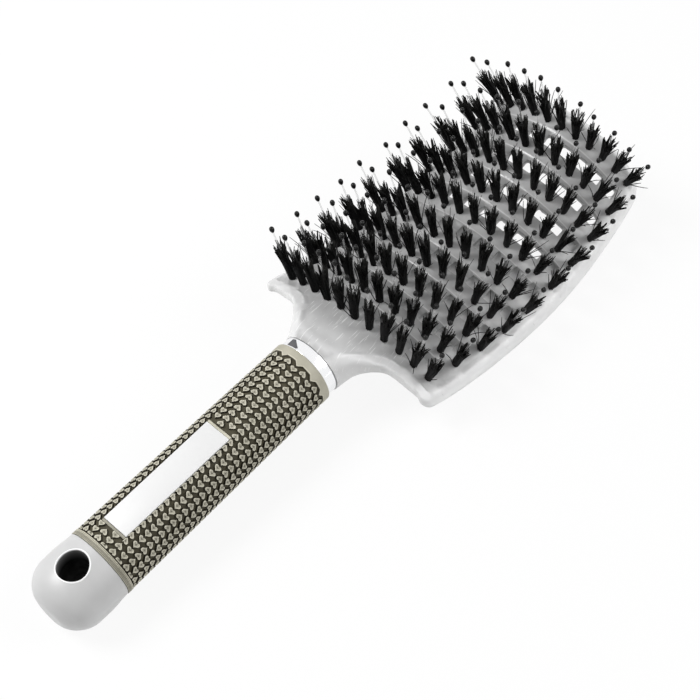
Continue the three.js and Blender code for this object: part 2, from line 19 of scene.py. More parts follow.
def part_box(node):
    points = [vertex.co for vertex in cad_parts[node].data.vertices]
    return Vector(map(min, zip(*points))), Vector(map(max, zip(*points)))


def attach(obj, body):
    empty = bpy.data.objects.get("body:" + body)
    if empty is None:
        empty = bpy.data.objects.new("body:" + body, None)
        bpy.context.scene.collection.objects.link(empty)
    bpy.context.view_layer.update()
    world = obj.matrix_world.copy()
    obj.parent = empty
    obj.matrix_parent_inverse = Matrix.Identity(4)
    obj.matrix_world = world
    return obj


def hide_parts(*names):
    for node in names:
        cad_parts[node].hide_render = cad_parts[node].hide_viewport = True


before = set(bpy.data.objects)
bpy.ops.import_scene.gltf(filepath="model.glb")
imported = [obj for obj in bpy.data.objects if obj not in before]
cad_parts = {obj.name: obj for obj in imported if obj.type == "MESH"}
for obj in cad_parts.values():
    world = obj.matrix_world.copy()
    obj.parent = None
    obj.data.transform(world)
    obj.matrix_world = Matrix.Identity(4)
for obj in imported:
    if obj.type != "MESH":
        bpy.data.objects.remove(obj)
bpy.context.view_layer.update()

# ---------------------------------------------------------------- sizes, in millimetres

MM = 0.001
SEAT_GAP = 0.3

GRIP_LENGTH = 87.3
GRIP_RADIUS_AT_CAP = 12.25
GRIP_RADIUS_AT_FERRULE = 11.6
NUB_HEIGHT = 0.8
NUB_COLUMNS = 24
NUBS_PER_COLUMN = 34
FIRST_NUB = 1.92
NUB_PITCH = 2.395
NUB_PITCH_GROWTH = 0.0015
NUB_LENGTH = 2.05
NUB_WIDTH = 2.7
FIRST_COLUMN = radians(3.8)
COLUMN_WANDER = radians(5.0)
COLLAR_START = 84.1
COLLAR_TOOTH = 1.3
COLLAR_END = 87.05
FLANGE_START = -1.5
FLANGE_END = 0.55
FLANGE_SHADES = (0.66, 0.6, 0.55, 0.9, 1.0)
NUB_CLEARANCE = 0.3

CAP_LENGTH = 21.2
CAP_RADIUS = 12.8
CAP_CORNER = 8.0
CAP_FLATTENING = 0.9
CAP_CROWN = 1.3
HOLE_RADIUS = 5.1
HOLE_INSET = 11.9

LABEL_LENGTH = 43.1
LABEL_WIDTH = 9.7
LABEL_THICKNESS = 0.8
LABEL_HEIGHT = 11.2
LABEL_INSET = 7.45
LABEL_CLEARANCE = 0.15
BAR_LENGTH = 0.85
BAR_GAP = 0.12

FERRULE_START = 87.2
FERRULE_END = 91.0
FERRULE_RADIUS = 10.95
FERRULE_SEAM = radians(-59.4)

NECK_START = 91.2
HEAD_START = 104.5
NECK_RADIUS = 11.0
NECK_FILLET = 17.0
NECK_FILLET_END = radians(-48)
SHOULDER = (104.2, 20.2)
SHOULDER_END = 106.1
SHOULDER_ROUND = 2.8

ROWS = 10
COLUMNS = 11
ROW_SPACING = 11.8
ROW_BREAK = 1.7
BREAK_AFTER = 4
ROW_SPAN = 108.9
ROW_BOW = 1.3
BOW_AT = 30.0
PITCH_AT_NECK = 6.25
PITCH_AT_MIDDLE = 7.0
PITCH_AT_TIP = 6.1
NECK_MARGIN = 7.5
TIP_MARGIN = 5.2
SIDE_MARGIN = 4.65
NECK_FLARE = 2.0
FLARE_LENGTH = 48.0
TIP_BOW = 0.6
TIP_CORNER = 5.0
NECK_CORNER = 5.0
BACK_CORNER = 3.0

SWEEP_RADIUS = 176.0
SWEEP_LOWEST = 170.8
SWEEP_DEPTH = 7.1
CROWN_AT_NECK = 68.6
CROWN_AT_TIP = 45.7
PLATE_AT_NECK = 6.5
PLATE_AT_TIP = 2.5
THINNING = (0.1, 0.78)

BLIND_VENT_LENGTH = 4.7
OPEN_VENT_LENGTH = 4.0
VENT_END_BEFORE_ROW = 8.35
VENT_WIDTH_AT_NECK = 3.9
VENT_WIDTH_AT_TIP = 4.2
OUTER_VENT_TRIM = 0.6
BLIND_GAPS = 5
BLIND_GAPS_AT_SIDES = 7
VENT_FLOOR = 2.8
LEAST_FLOOR = 0.4
LINK_DROP = 0.25
LINK_START = 5.9
LINK_END = 8.9
LINK_RISE = 0.25
LINK_ROW_STEP = 1.2
VENT_COLUMNS = 9
VENTS_END = (4.6, 5.0)
VENT_CORNER = 0.45
VENT_EDGE = 0.2
VENT_FLARE = 0.3
# share of the rounded edge's width, and depth
VENT_STAGES = ((1.0, 0.0), (0.45, 0.04), (0.1, 0.12), (0.0, 0.3))
RIDGE_AT_SIDES = 1.6
RIDGE_AT_NECK = 2.8
RIDGE_AT_BACK = 3.5
RIDGE_LEAVES_NECK = (102.0, 106.0)
RIDGE_MEETS_SIDES = (108.0, 110.5)
RIM_FALL = 2.0
RIM_RISE = 0.8
RIM_DEPTH = 4.0
EDGE_ROUND = 0.9

PIN_LENGTH = 22.3
PIN_RADIUS = 0.4
BALL_RADIUS = 1.02
BALL_LENGTH = 2.5
BRISTLE_LENGTH = 16.9
TUFT_RADIUS = 1.25
TUFT_SPREAD = 2.4
TUFT_CURL = 1.9
CLUMPS_PER_TUFT = 6
BRISTLES_PER_TUFT = 50
STRAYS_PER_TUFT = 4
FAN_SHARE = 0.68
FAN_LIMIT = 30.0
LEAN_AT_NECK = 0.01
LEAN_AT_TIP = -0.155

FILLET_START = HEAD_START - NECK_FILLET
FIRST_ROW = HEAD_START + NECK_MARGIN
TIP_END = FIRST_ROW + ROW_SPAN + TIP_MARGIN


# ---------------------------------------------------------------- how the brush lies


def box_middle(node):
    low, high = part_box(node)
    return (Vector(low) + Vector(high)) / 2


def lying_matrix():
    """From the brush's own frame, in metres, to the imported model's."""
    core = box_middle("handle_core")
    ring = box_middle("ferrule_ring")
    slope = atan2(ring.z - core.z, ring.x - core.x)
    turn = Matrix.Rotation(-slope, 4, "Y")
    core_middle = Vector(((SEAT_GAP + GRIP_LENGTH) / 2 * MM, 0, 0))
    return Matrix.Translation(core - turn @ core_middle) @ turn


LIE = lying_matrix()

# ---------------------------------------------------------------- camera, light and floor

CAMERA_AIM = (102.86, -6.0, 0.17)
CAMERA_DISTANCE = 484.8
CAMERA_AZIMUTH = radians(-132.1)
CAMERA_ELEVATION = radians(57.6)
CAMERA_ROLL = radians(-6.3)
CAMERA_LENS = 77.2
SENSOR_WIDTH = 36
CAMERA_NEAR = 0.01

# each lamp's place and size in metres, and its power in watts
KEY_LIGHT = ((-0.35, 0.45, 0.75), 0.42, 7.0)
FILL_LIGHT = ((0.5, -0.55, 0.6), 0.7, 4.0)
HORIZON_LIGHT = 0.62
ZENITH_LIGHT = 0.3
FLOOR_HALF_WIDTH = 1.5
FLOOR_DROP = 0.0002
PAPER_TONE = 0.86
PAPER_GLOW = 0.9


def add_object(name, data):
    made = bpy.data.objects.new(name, data)
    bpy.context.scene.collection.objects.link(made)
    return made


def make_camera():
    level = cos(CAMERA_ELEVATION)
    east, north = level * cos(CAMERA_AZIMUTH), level * sin(CAMERA_AZIMUTH)
    back = Vector((east, north, sin(CAMERA_ELEVATION)))
    data = bpy.data.cameras.new("camera")
    data.lens = CAMERA_LENS
    data.sensor_width = SENSOR_WIDTH
    data.clip_start = CAMERA_NEAR
    camera = add_object("camera", data)
    facing = back.to_track_quat("Z", "Y").to_matrix().to_4x4()
    roll = Matrix.Rotation(CAMERA_ROLL, 4, "Z")
    place = Matrix.Translation((Vector(CAMERA_AIM) + back * CAMERA_DISTANCE) * MM)
    camera.matrix_world = LIE @ place @ facing @ roll
    bpy.context.scene.camera = camera


def make_area_light(name, place, size, power):
    data = bpy.data.lights.new(name, "AREA")
    data.shape = "DISK"
    data.size = size
    data.energy = power
    light = add_object(name, data)
    light.location = place
    light.rotation_euler = (-Vector(place)).to_track_quat("-Z", "Y").to_euler()


class Wires:
    """A node tree under construction."""

    def __init__(self, owner):
        owner.use_nodes = True
        self.nodes = owner.node_tree.nodes
        self.links = owner.node_tree.links

    def add(self, kind, inputs=None, **settings):
        """A new node; its inputs take numbers, colours or other nodes' outputs."""
        node = self.nodes.new("ShaderNode" + kind)
        for name, value in settings.items():
            setattr(node, name, value)
        for socket, value in (inputs or {}).items():
            self.feed(node.inputs[socket], value)
        return node

    def feed(self, socket, value):
        if isinstance(value, bpy.types.NodeSocket):
            self.links.new(value, socket)
        elif socket.type == "RGBA":
            socket.default_value = (*as_colour(value), 1)
        else:
            socket.default_value = value

    def math(self, operation, *values):
        return self.add("Math", dict(enumerate(values)), operation=operation).outputs[0]

    def background_rays(self):
        """1 for the rays that show the backdrop: camera, glossy and transmission rays."""
        path = self.add("LightPath").outputs
        seen = self.math("MAXIMUM", path["Is Camera Ray"], path["Is Glossy Ray"])
        return self.math("MAXIMUM", seen, path["Is Transmission Ray"])


def as_colour(value):
    return value if isinstance(value, tuple) else (value,) * 3


def make_world():
    world = bpy.data.worlds.new("studio")
    bpy.context.scene.world = world
    wires = Wires(world)
    wires.nodes.clear()
    direction = wires.add("TexCoord").outputs["Generated"]
    height = wires.add("SeparateXYZ", {0: direction}).outputs["Z"]
    levels = {"Value": height, "To Min": HORIZON_LIGHT, "To Max": ZENITH_LIGHT}
    sky = wires.add("MapRange", levels).outputs[0]
    ambient = wires.add("Background", {"Strength": sky}).outputs[0]
    seen = wires.add("Background", {"Color": 1, "Strength": 1.0}).outputs[0]
    mix = wires.add("MixShader", {"Fac": wires.background_rays(), 1: ambient, 2: seen})
    wires.add("OutputWorld", {"Surface": mix.outputs[0]})


def make_floor():
    mesh = bpy.data.meshes.new("floor")
    half = FLOOR_HALF_WIDTH
    corners = [(-half, -half, 0), (half, -half, 0), (half, half, 0), (-half, half, 0)]
    mesh.from_pydata(corners, [], [(0, 1, 2, 3)])
    floor = add_object("floor", mesh)
    floor.location.z = -FLOOR_DROP
    material = bpy.data.materials.new("floor")
    wires = Wires(material)
    wires.nodes.clear()
    paper = wires.add("BsdfDiffuse", {"Color": PAPER_TONE}).outputs[0]
    glow = wires.add("Emission", {"Strength": 1.0}).outputs[0]
    share = wires.math("MULTIPLY", wires.background_rays(), PAPER_GLOW)
    mix = wires.add("MixShader", {"Fac": share, 1: paper, 2: glow})
    wires.add("OutputMaterial", {"Surface": mix.outputs[0]})
    mesh.materials.append(material)


# ---------------------------------------------------------------- materials

PEARL = {"IOR": 1.46, "Subsurface_Weight": 0.05, "Subsurface_Radius": (0.003, 0.003, 0.003)}
# painted shade on the cross links between the rows' bars
LINK_SHADE_TONE = 0.33
# painted highlight along the bars' edges next to the cross links
LINK_EDGE_HIGHLIGHT_TONE = 0.66
# painted highlight along the rim's ridge
RIDGE_HIGHLIGHT_TONE = 0.92
SCRATCH_TONE = 0.85
# painted light near the hanging hole's mouths
BORE_MOUTH_LIGHT = 0.3
# painted highlight near the bristles' tips
BRISTLE_TIP_HIGHLIGHT = (0.012, 0.012, 0.011)
PIT_SPREAD = 1.5


class Look(Wires):
    """A node material, with short ways to add what most of them need."""

    def __init__(self, name, **values):
        self.material = bpy.data.materials.new(name)
        super().__init__(self.material)
        self.shader = self.nodes["Principled BSDF"]
        self.place = self.add("TexCoord").outputs["Object"]
        for socket, value in values.items():
            self.shader.inputs[socket.replace("_", " ")].default_value = value

    def noise(self, scale, detail=3.0, stretch=(1, 1, 1), turn=0.0):
        inputs = {"Vector": self.place, "Rotation": (0, 0, turn)}
        inputs["Scale"] = [1 / factor for factor in stretch]
        place = self.add("Mapping", inputs, vector_type="TEXTURE").outputs[0]
        inputs = {"Vector": place, "Scale": scale, "Detail": detail}
        return self.add("TexNoise", inputs).outputs["Fac"]

    def ramp(self, factor, *stops):
        """Colours, or greys, at places along a factor."""
        node = self.add("ValToRGB", {0: factor})
        while len(node.color_ramp.elements) < len(stops):
            node.color_ramp.elements.new(0.5)
        for element, (position, value) in zip(node.color_ramp.elements, stops):
            element.position = position
            element.color = (*as_colour(value), 1)
        return node.outputs["Color"]

    def spread(self, scale, detail, low, high, ends=(0.3, 0.7)):
        """Noise between two colours or greys."""
        return self.ramp(self.noise(scale, detail), (ends[0], low), (ends[1], high))

    def bump(self, height, strength, distance):
        inputs = {"Strength": strength, "Distance": distance, "Height": height}
        node = self.add("Bump", inputs)
        previous = self.shader.inputs["Normal"]
        if previous.is_linked:
            self.links.new(previous.links[0].from_socket, node.inputs["Normal"])
        self.links.new(node.outputs[0], previous)

    def attribute(self, name):
        return self.add("Attribute", attribute_name=name).outputs["Fac"]

    def mix(self, factor, first, second):
        node = self.add("Mix", {"Factor": factor}, data_type="RGBA")
        sockets = [socket for socket in node.inputs if socket.type == "RGBA"]
        for socket, value in zip(sockets, (first, second)):
            self.feed(socket, value)
        return [socket for socket in node.outputs if socket.type == "RGBA"][0]

    def dress(self, tone, roughness):
        self.feed(self.shader.inputs["Base Color"], tone)
        self.feed(self.shader.inputs["Roughness"], roughness)


def head_look():
    """Pearl plastic with painted shade between the tufts, in the vents and on the cross links,
    painted light on the rim, neck and lobes, and painted highlights on the bars' edges and the
    rim's ridge; the cross links also lie lower than the rows' bars.
    """
    look = Look("pearl_plastic", Coat_Weight=0.2, Coat_Roughness=0.14, **PEARL)
    cloud = look.noise(90, 4)
    # painted shade on the plastic between the tufts, and painted light where the tone attribute
    # marks the plastic as lit
    shaded_field = look.ramp(cloud, (0.35, 0.4), (0.65, 0.48))
    lit_parts = look.ramp(cloud, (0.35, 0.82), (0.65, 0.88))
    tone = look.mix(look.attribute("tone"), shaded_field, lit_parts)
    past_row = look.math("FRACT", look.attribute("row"))
    inside = look.attribute("shaded_field")
    # painted shade on the cross links among the vents
    link = look.ramp(past_row, (0.485, 0), (0.505, 1), (0.745, 1), (0.76, 0))
    # painted highlight along the bars' edges
    link_edge_highlight = look.ramp(past_row, (0.75, 0), (0.77, 0.6), (0.79, 0))
    tone = look.mix(look.math("MULTIPLY", link, inside), tone, LINK_SHADE_TONE)
    tone = look.mix(look.math("MULTIPLY", link_edge_highlight, inside), tone, LINK_EDGE_HIGHLIGHT_TONE)
    # painted highlight along the rim's ridge
    tone = look.mix(look.attribute("ridge"), tone, RIDGE_HIGHLIGHT_TONE)
    scratch = look.ramp(look.noise(60, 6, (1.5, 34, 6), 0.2), (0.6, 0), (0.64, 0.7))
    scratch = look.math("MULTIPLY", scratch, look.attribute("worn"))
    look.dress(look.mix(scratch, tone, SCRATCH_TONE), look.spread(420, 3, 0.28, 0.42))
    look.bump(look.noise(900, 3), 0.05, 0.0002)
    look.bump(scratch, 0.12, 0.0001)
    return look.material


def plain_look(name, tone, roughness, bump=None, **values):
    """A tone and a roughness from noise, with a bump as (noise scale, strength, distance)."""
    look = Look(name, **values)
    look.dress(look.spread(*tone), look.spread(*roughness))
    if bump:
        look.bump(look.noise(bump[0], 2), *bump[1:])
    return look.material


def bore_shade_look():
    """The hanging hole's wall, painted dark as painted shade, with painted light near its mouths.
    """
    look = Look("bore_painted_shade", Specular_IOR_Level=0.05)
    # painted shade deep in the hole, with painted light near its mouths
    deep_shade = look.spread(300, 2, 0.002, 0.006)
    tone = look.mix(look.attribute("mouth_light"), deep_shade, BORE_MOUTH_LIGHT)
    look.dress(tone, look.spread(500, 2, 0.7, 0.9))
    return look.material


def bristle_look():
    look = Look("black_bristle", Specular_IOR_Level=0.12)
    # painted highlight near the tips
    tip_highlight = look.ramp(look.attribute("along"), (0.7, 0), (0.98, 1))
    tone = look.mix(tip_highlight, look.spread(800, 2, 0.0015, 0.004), BRISTLE_TIP_HIGHLIGHT)
    look.dress(tone, look.spread(1500, 2, 0.5, 0.7))
    return look.material


def rubber_look(name, dark, light, roughness, pit_shade=None):
    """Soft plastic between two tones; where a piece has shades, painted shade darkens its low parts
    and walls towards the pit's colour.
    """
    look = Look(name, Specular_IOR_Level=0.4)
    tone = look.spread(160, 4, dark, light)
    if pit_shade:
        # painted shade in the low parts and walls, by the shade attribute
        deep_shade = look.spread(300, 2, pit_shade, tuple(PIT_SPREAD * value for value in pit_shade))
        tone = look.mix(look.attribute("shade"), deep_shade, tone)
    look.dress(tone, look.spread(600, 3, *roughness))
    look.bump(look.noise(2600, 2), 0.12, 0.0002)
    return look.material


def chrome_look():
    look = Look("bright_chrome", Metallic=1.0)
    streak = look.noise(500, 3, (6, 0.4, 0.4))
    tone = look.spread(60, 2, (0.86, 0.87, 0.88), (0.93, 0.93, 0.94))
    look.dress(tone, look.ramp(streak, (0.3, 0.07), (0.7, 0.16)))
    look.bump(streak, 0.02, 0.0001)
    return look.material


# ---------------------------------------------------------------- mesh helpers

# share of a straight part that one rounded corner may take
MOST_ROUNDED = 0.45

def add_piece(name, shape, material, sharp_over=None):
    """A smooth piece from a shape in millimetres in the brush's own frame."""
    mesh = bpy.data.meshes.new(name)
    places = [LIE @ (Vector(point) * MM) for point in shape.points]
    mesh.from_pydata([(p.x, p.y, max(p.z, 0.0)) for p in places], [], shape.faces)
    mesh.validate()
    mesh.materials.append(material)
    piece = add_object(name, mesh)
    mesh.shade_smooth()
    if sharp_over:
        mesh.set_sharp_from_angle(angle=radians(sharp_over))
    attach(piece, "root")
    return piece


class Shape:
    """Points and faces gathered from several parts of one mesh."""

    def __init__(self):
        self.points = []
        self.faces = []
        self.values = []

    def add(self, points, faces):
        start = len(self.points)
        self.points.extend(points)
        self.faces.extend([tuple(start + k for k in face) for face in faces])
        return start

    def loft(self, rings, close_first=False, close_last=False, values=()):
        """Joins rings of equal point counts, in order, as quads; each ring may have a value."""
        count = len(rings[0])
        start = self.add([point for ring in rings for point in ring], [])
        self.values += [value for value in values for _ in range(count)]
        for r in range(len(rings) - 1):
            near = start + r * count
            far = near + count
            for k in range(count):
                after = (k + 1) % count
                self.faces.append((near + k, near + after, far + after, far + k))
        last = start + (len(rings) - 1) * count
        if close_first:
            self.faces.append(tuple(range(start + count - 1, start - 1, -1)))
        if close_last:
            self.faces.append(tuple(range(last, last + count)))
        return self


def rounded_profile(corners, radius, steps):
    """The open profile through the corners, each inner corner rounded."""
    points = [corners[0]]
    for before, corner, after in zip(corners, corners[1:], corners[2:]):
        corner = Vector(corner)
        a = Vector(before) - corner
        b = Vector(after) - corner
        reach = min(radius, a.length * MOST_ROUNDED, b.length * MOST_ROUNDED)
        first = corner + a.normalized() * reach
        last = corner + b.normalized() * reach
        for k in range(steps + 1):
            share = k / steps
            points.append(tuple(first.lerp(corner, share).lerp(corner.lerp(last, share), share)))
    points.append(corners[-1])
    return points


def spaced_turns(count):
    """Angles spread evenly over a full turn."""
    return [2 * pi * k / count for k in range(count)]


def circle(centre, side, other, radius, count):
    """Points round a centre, in the plane of two directions."""
    turns = spaced_turns(count)
    return [centre + (side * cos(a) + other * sin(a)) * radius for a in turns]


def around(x, radius, angle):
    """A point about the handle's axis, at an angle from +Z towards +Y."""
    return (x, radius * sin(angle), radius * cos(angle))


def handle_ring(x, radius, count):
    return [around(x, radius, angle) for angle in spaced_turns(count)]


def store_values(piece, name, values):
    attribute = piece.data.attributes.new(name, "FLOAT", "POINT")
    attribute.data.foreach_set("value", values)


def mend(piece, sharp_over, weld=0.0, bevel=0.0):
    """Welds or bevels a piece; it stays smooth but for edges sharper than an angle."""
    made = bmesh.new()
    made.from_mesh(piece.data)
    if weld:
        bmesh.ops.remove_doubles(made, verts=made.verts, dist=weld * MM)
    bmesh.ops.recalc_face_normals(made, faces=made.faces)
    if bevel:
        shape = {"offset": bevel * MM, "segments": 3, "profile": 0.5, "affect": "EDGES"}
        bmesh.ops.bevel(made, geom=made.edges[:], **shape)
    made.to_mesh(piece.data)
    made.free()
    piece.data.shade_smooth()
    piece.data.set_sharp_from_angle(angle=radians(sharp_over))


# ---------------------------------------------------------------- the brushing face


def along(x):
    return (x - FIRST_ROW) / ROW_SPAN


def between(at_neck, at_tip, share):
    return at_neck + (at_tip - at_neck) * share


def clamped(value, low=0.0, high=1.0):
    return max(low, min(high, value))


def smooth_step(value, low, high):
    share = clamped((value - low) / (high - low))
    return share * share * (3 - 2 * share)


def crown_radius(x):
    return between(CROWN_AT_NECK, CROWN_AT_TIP, along(x))


def plate_thickness(x):
    return between(PLATE_AT_NECK, PLATE_AT_TIP, smooth_step(along(x), *THINNING))


def face_height(x, y):
    sweep = SWEEP_RADIUS - sqrt(SWEEP_RADIUS**2 - (x - SWEEP_LOWEST) ** 2)
    radius = crown_radius(x)
    return sweep - SWEEP_DEPTH - (radius - sqrt(radius**2 - y**2))


def drawn_point(x, y, depth):
    """A point under the face: straight down along the brush, square to the crown across it."""
    slope = y / sqrt(crown_radius(x) ** 2 - y**2)
    return Vector((x, y, face_height(x, y))) - Vector((0, slope, 1)).normalized() * depth


def column_pitch(x):
    share = 2 * along(x) - 1
    ends = (PITCH_AT_NECK + PITCH_AT_TIP) / 2
    tilt = (PITCH_AT_TIP - PITCH_AT_NECK) / 2
    return PITCH_AT_MIDDLE + tilt * share + (ends - PITCH_AT_MIDDLE) * share**2


def vent_pitch(x):
    return column_pitch(x) * (COLUMNS - 2) / (VENT_COLUMNS - 1)


def across_at(x, arc):
    return crown_radius(x) * sin(arc / crown_radius(x))


def bowed(x, y):
    return x + ROW_BOW * (y / BOW_AT) ** 2


def row_place(row):
    return FIRST_ROW + row * ROW_SPACING + (ROW_BREAK if row > BREAK_AFTER else 0)


def row_number(x):
    """The place along the rows as a row's number with its share of the way to the next."""
    row = 0
    while row < ROWS - 2 and x >= row_place(row + 1):
        row += 1
    return row + (x - row_place(row)) / (row_place(row + 1) - row_place(row))


def link_drop(x):
    """How far the cross links between the rows' bars lie under the face."""
    if not FIRST_ROW < x < row_place(ROWS - 1):
        return 0.0
    past = x - row_place(int(row_number(x)))
    low = smooth_step(past, LINK_START - LINK_RISE, LINK_START)
    return LINK_DROP * low * (1 - smooth_step(past, LINK_END, LINK_END + LINK_RISE))


def column_number(x, y):
    """How far out a point lies, counted in columns of tufts from the middle."""
    return asin(clamped(abs(y) / crown_radius(x))) * crown_radius(x) / column_pitch(x)


def side_share(x, y):
    """0 among the vents and 1 out at the sides, past the last of them."""
    return smooth_step(column_number(x, y), *VENTS_END)


def half_width(x):
    flare = NECK_FLARE * clamped(1 - (x - FIRST_ROW) / FLARE_LENGTH) ** 2
    return across_at(x, (COLUMNS - 1) / 2 * column_pitch(x)) + SIDE_MARGIN + flare


# ---------------------------------------------------------------- head frame

PLAN_STEP = 1.5
PLAN_EDGE_GAP = 0.12
PLAN_VENT_GAP = 0.5
PLAN_SAME_POINT = 1e-3
WHOLE_HULL = 0
RIM_SOLID = 2.5
RIM_TO_PLATE = 4.1
NECK_EDGE_ROUND = 2.6
NECK_EDGE_SHARPENS = (96.0, 103.0)
ROUND_TOP_END = 98.0
ROUND_BACK_END = HEAD_START - 1.0
# painted light and shade: how bright each part is painted, 0 with the painted shade between the
# tufts and 1 as lit open plastic
# painted light on the rim, less of it at the neck
RIM_LIGHT_AT_NECK = 0.62
# painted light on the neck's top
NECK_PAINTED_LIGHT = 0.37
# painted light deep down, as on the blind vents' floors, and painted shade on the walls under the
# face
FLOOR_PAINTED_LIGHT = 0.66
WALL_PAINTED_LIGHT = 0.1
# painted light on the bars between the outer columns of tufts
LOBE_PAINTED_LIGHT = 0.5
# share of the painted highlight along the rim's ridge, and where it starts and ends past the ridge
CREST_HIGHLIGHT = 0.4
CREST_START = -0.15
CREST_END = 0.2
TOP_DEPTH = 0.6


def arc_points(centre, radius, start, end, steps):
    angles = [start + (end - start) * k / steps for k in range(steps + 1)]
    return [(centre[0] + radius * cos(a), centre[1] + radius * sin(a)) for a in angles]


def head_half_outline():
    """The outline's +Y half, from the neck's start to the middle of the tip."""
    quarter = pi / 2
    centre = (FILLET_START, NECK_RADIUS + NECK_FILLET)
    start = asin((NECK_START - FILLET_START) / NECK_FILLET) - quarter
    points = arc_points(centre, NECK_FILLET, start, NECK_FILLET_END, 12)
    corner = (HEAD_START + NECK_CORNER - 1.1, half_width(HEAD_START + NECK_CORNER) - BACK_CORNER)
    last = (corner[0] - BACK_CORNER, corner[1])
    back = [points[-1], SHOULDER, (SHOULDER_END, corner[1] - 1.5), last]
    points += rounded_profile(back, SHOULDER_ROUND, 6)[1:]
    points += arc_points(corner, BACK_CORNER, 2 * quarter, quarter, 8)[1:]
    side_end = TIP_END - TIP_CORNER
    middle = (HEAD_START + TIP_END) / 2
    width = half_width(middle)
    side_start = HEAD_START + NECK_CORNER
    plan = [(between(side_start, side_end, k / 60), width) for k in range(1, 60)]
    plan += arc_points((side_end, width - TIP_CORNER), TIP_CORNER, quarter, 0, 8)
    plan += [(TIP_END, (width - TIP_CORNER) * (1 - k / 24)) for k in range(1, 25)]
    for x, y in plan:
        y = y / width * half_width(x)
        towards_tip = clamped((x - middle) / (TIP_END - middle)) ** 2
        points.append((x - towards_tip * TIP_BOW * (y / BOW_AT) ** 2, y))
    return points


def head_outline():
    half = head_half_outline()
    return [(x, -y) for x, y in half[:-1]] + half[::-1]


def neck_end():
    """Points across the neck's flat end, from the outline's last point back to its first."""
    steps = 24
    half = neck_half_width(NECK_START)
    return [(NECK_START, half * cos(pi * k / steps)) for k in range(1, steps)]


def edge_distances(points, outline):
    """Each point's distance in from the outline; the neck's open end doesn't count."""
    start = np.array(outline[:-1])
    end = np.array(outline[1:])
    span = end - start
    points = np.array(points)
    best = np.full(len(points), 1e9)
    for a, s in zip(start, span):
        share = np.clip(((points - a) @ s) / (s @ s), 0, 1)
        best = np.minimum(best, np.linalg.norm(points - a - share[:, None] * s, axis=1))
    return best


def vent_loop(gap, column, grow):
    """One vent's edge in plan, widened by grow, as a rectangle with round corners."""
    length = BLIND_VENT_LENGTH if gap < BLIND_GAPS else OPEN_VENT_LENGTH
    x = row_place(gap + 1) - VENT_END_BEFORE_ROW + length / 2
    trim = OUTER_VENT_TRIM if abs(column) > 2 else 0.0
    arc = column * vent_pitch(x) - copysign(trim / 2, column)
    half_length = length / 2 + grow
    width = between(VENT_WIDTH_AT_NECK, VENT_WIDTH_AT_TIP, along(x)) - trim
    half_width_ = width / 2 + grow
    radius = VENT_CORNER + grow
    loop = []
    for quarter, (sx, sy) in enumerate(((1, 1), (-1, 1), (-1, -1), (1, -1))):
        centre = (sx * (half_length - radius), sy * (half_width_ - radius))
        turn = quarter * pi / 2
        loop += arc_points(centre, radius, turn, turn + pi / 2, 4)
    plan = []
    for along_x, across in loop:
        y = across_at(x + along_x, arc + across)
        plan.append((bowed(x + along_x, y), y))
    return plan


def roundness(x, end):
    """1 where the neck is round, at the ferrule, and 0 where it has become the head's plate."""
    return 1 - smooth_step(x, NECK_START, end)


def neck_half_width(x):
    reach = clamped(x - FILLET_START, 0, NECK_FILLET * 0.999)
    return NECK_RADIUS + NECK_FILLET - sqrt(NECK_FILLET**2 - reach**2)


def ridge_inset(x):
    """How far in from the edge the rim's ridge runs."""
    at_back = between(RIDGE_AT_NECK, RIDGE_AT_BACK, smooth_step(x, *RIDGE_LEAVES_NECK))
    return between(at_back, RIDGE_AT_SIDES, smooth_step(x, *RIDGE_MEETS_SIDES))


def rim_height(x, inset):
    """How far the rim stands over the face, this far in from the edge."""
    ridge = ridge_inset(x)
    rise = RIM_RISE * smooth_step(x, NECK_START, NECK_START + 9)
    if inset >= ridge:
        return rise * (1 - smooth_step(inset, ridge, ridge + RIM_FALL))
    height = rise * between(0.45, 1, inset / ridge)
    corner = between(NECK_EDGE_ROUND, EDGE_ROUND, smooth_step(x, *NECK_EDGE_SHARPENS))
    turn = clamped(1 - inset / corner)
    return height - corner * (1 - sqrt(1 - turn**2))


def head_top(x, y, inset):
    plate = face_height(x, y) + rim_height(x, inset) - link_drop(x) * (1 - side_share(x, y))
    blend = roundness(x, ROUND_TOP_END)
    if blend <= 0:
        return plate
    half = neck_half_width(x)
    share = clamped(abs(y) / half)
    bulge = sqrt(max(0.0, 1 - share**2)) * NECK_RADIUS
    return between(plate, bulge, blend)


def head_bottom_point(x, y, inset):
    """The point under a plan point: along the face's normal inside, straight down at the edge."""
    thickness = plate_thickness(x)
    beside_neck = 1.0 if x > FIRST_ROW else smooth_step(abs(y), NECK_RADIUS, 2 * NECK_RADIUS)
    edge_depth = between(PLATE_AT_NECK, RIM_DEPTH, beside_neck)
    top = Vector((x, y, face_height(x, y)))
    inner = drawn_point(x, y, thickness)
    bevel = EDGE_ROUND * (1 - sqrt(max(0.0, 1 - (1 - clamped(inset / EDGE_ROUND)) ** 2)))
    edge = top - Vector((0, 0, edge_depth - bevel))
    plate = edge.lerp(inner, clamped((inset - RIM_SOLID) / RIM_TO_PLATE))
    blend = roundness(x, ROUND_BACK_END)
    if blend <= 0:
        return plate
    half = neck_half_width(x)
    bulge = -sqrt(max(0.0, 1 - clamped(abs(y) / half) ** 2)) * NECK_RADIUS
    return plate.lerp(Vector((x, y, bulge)), blend)


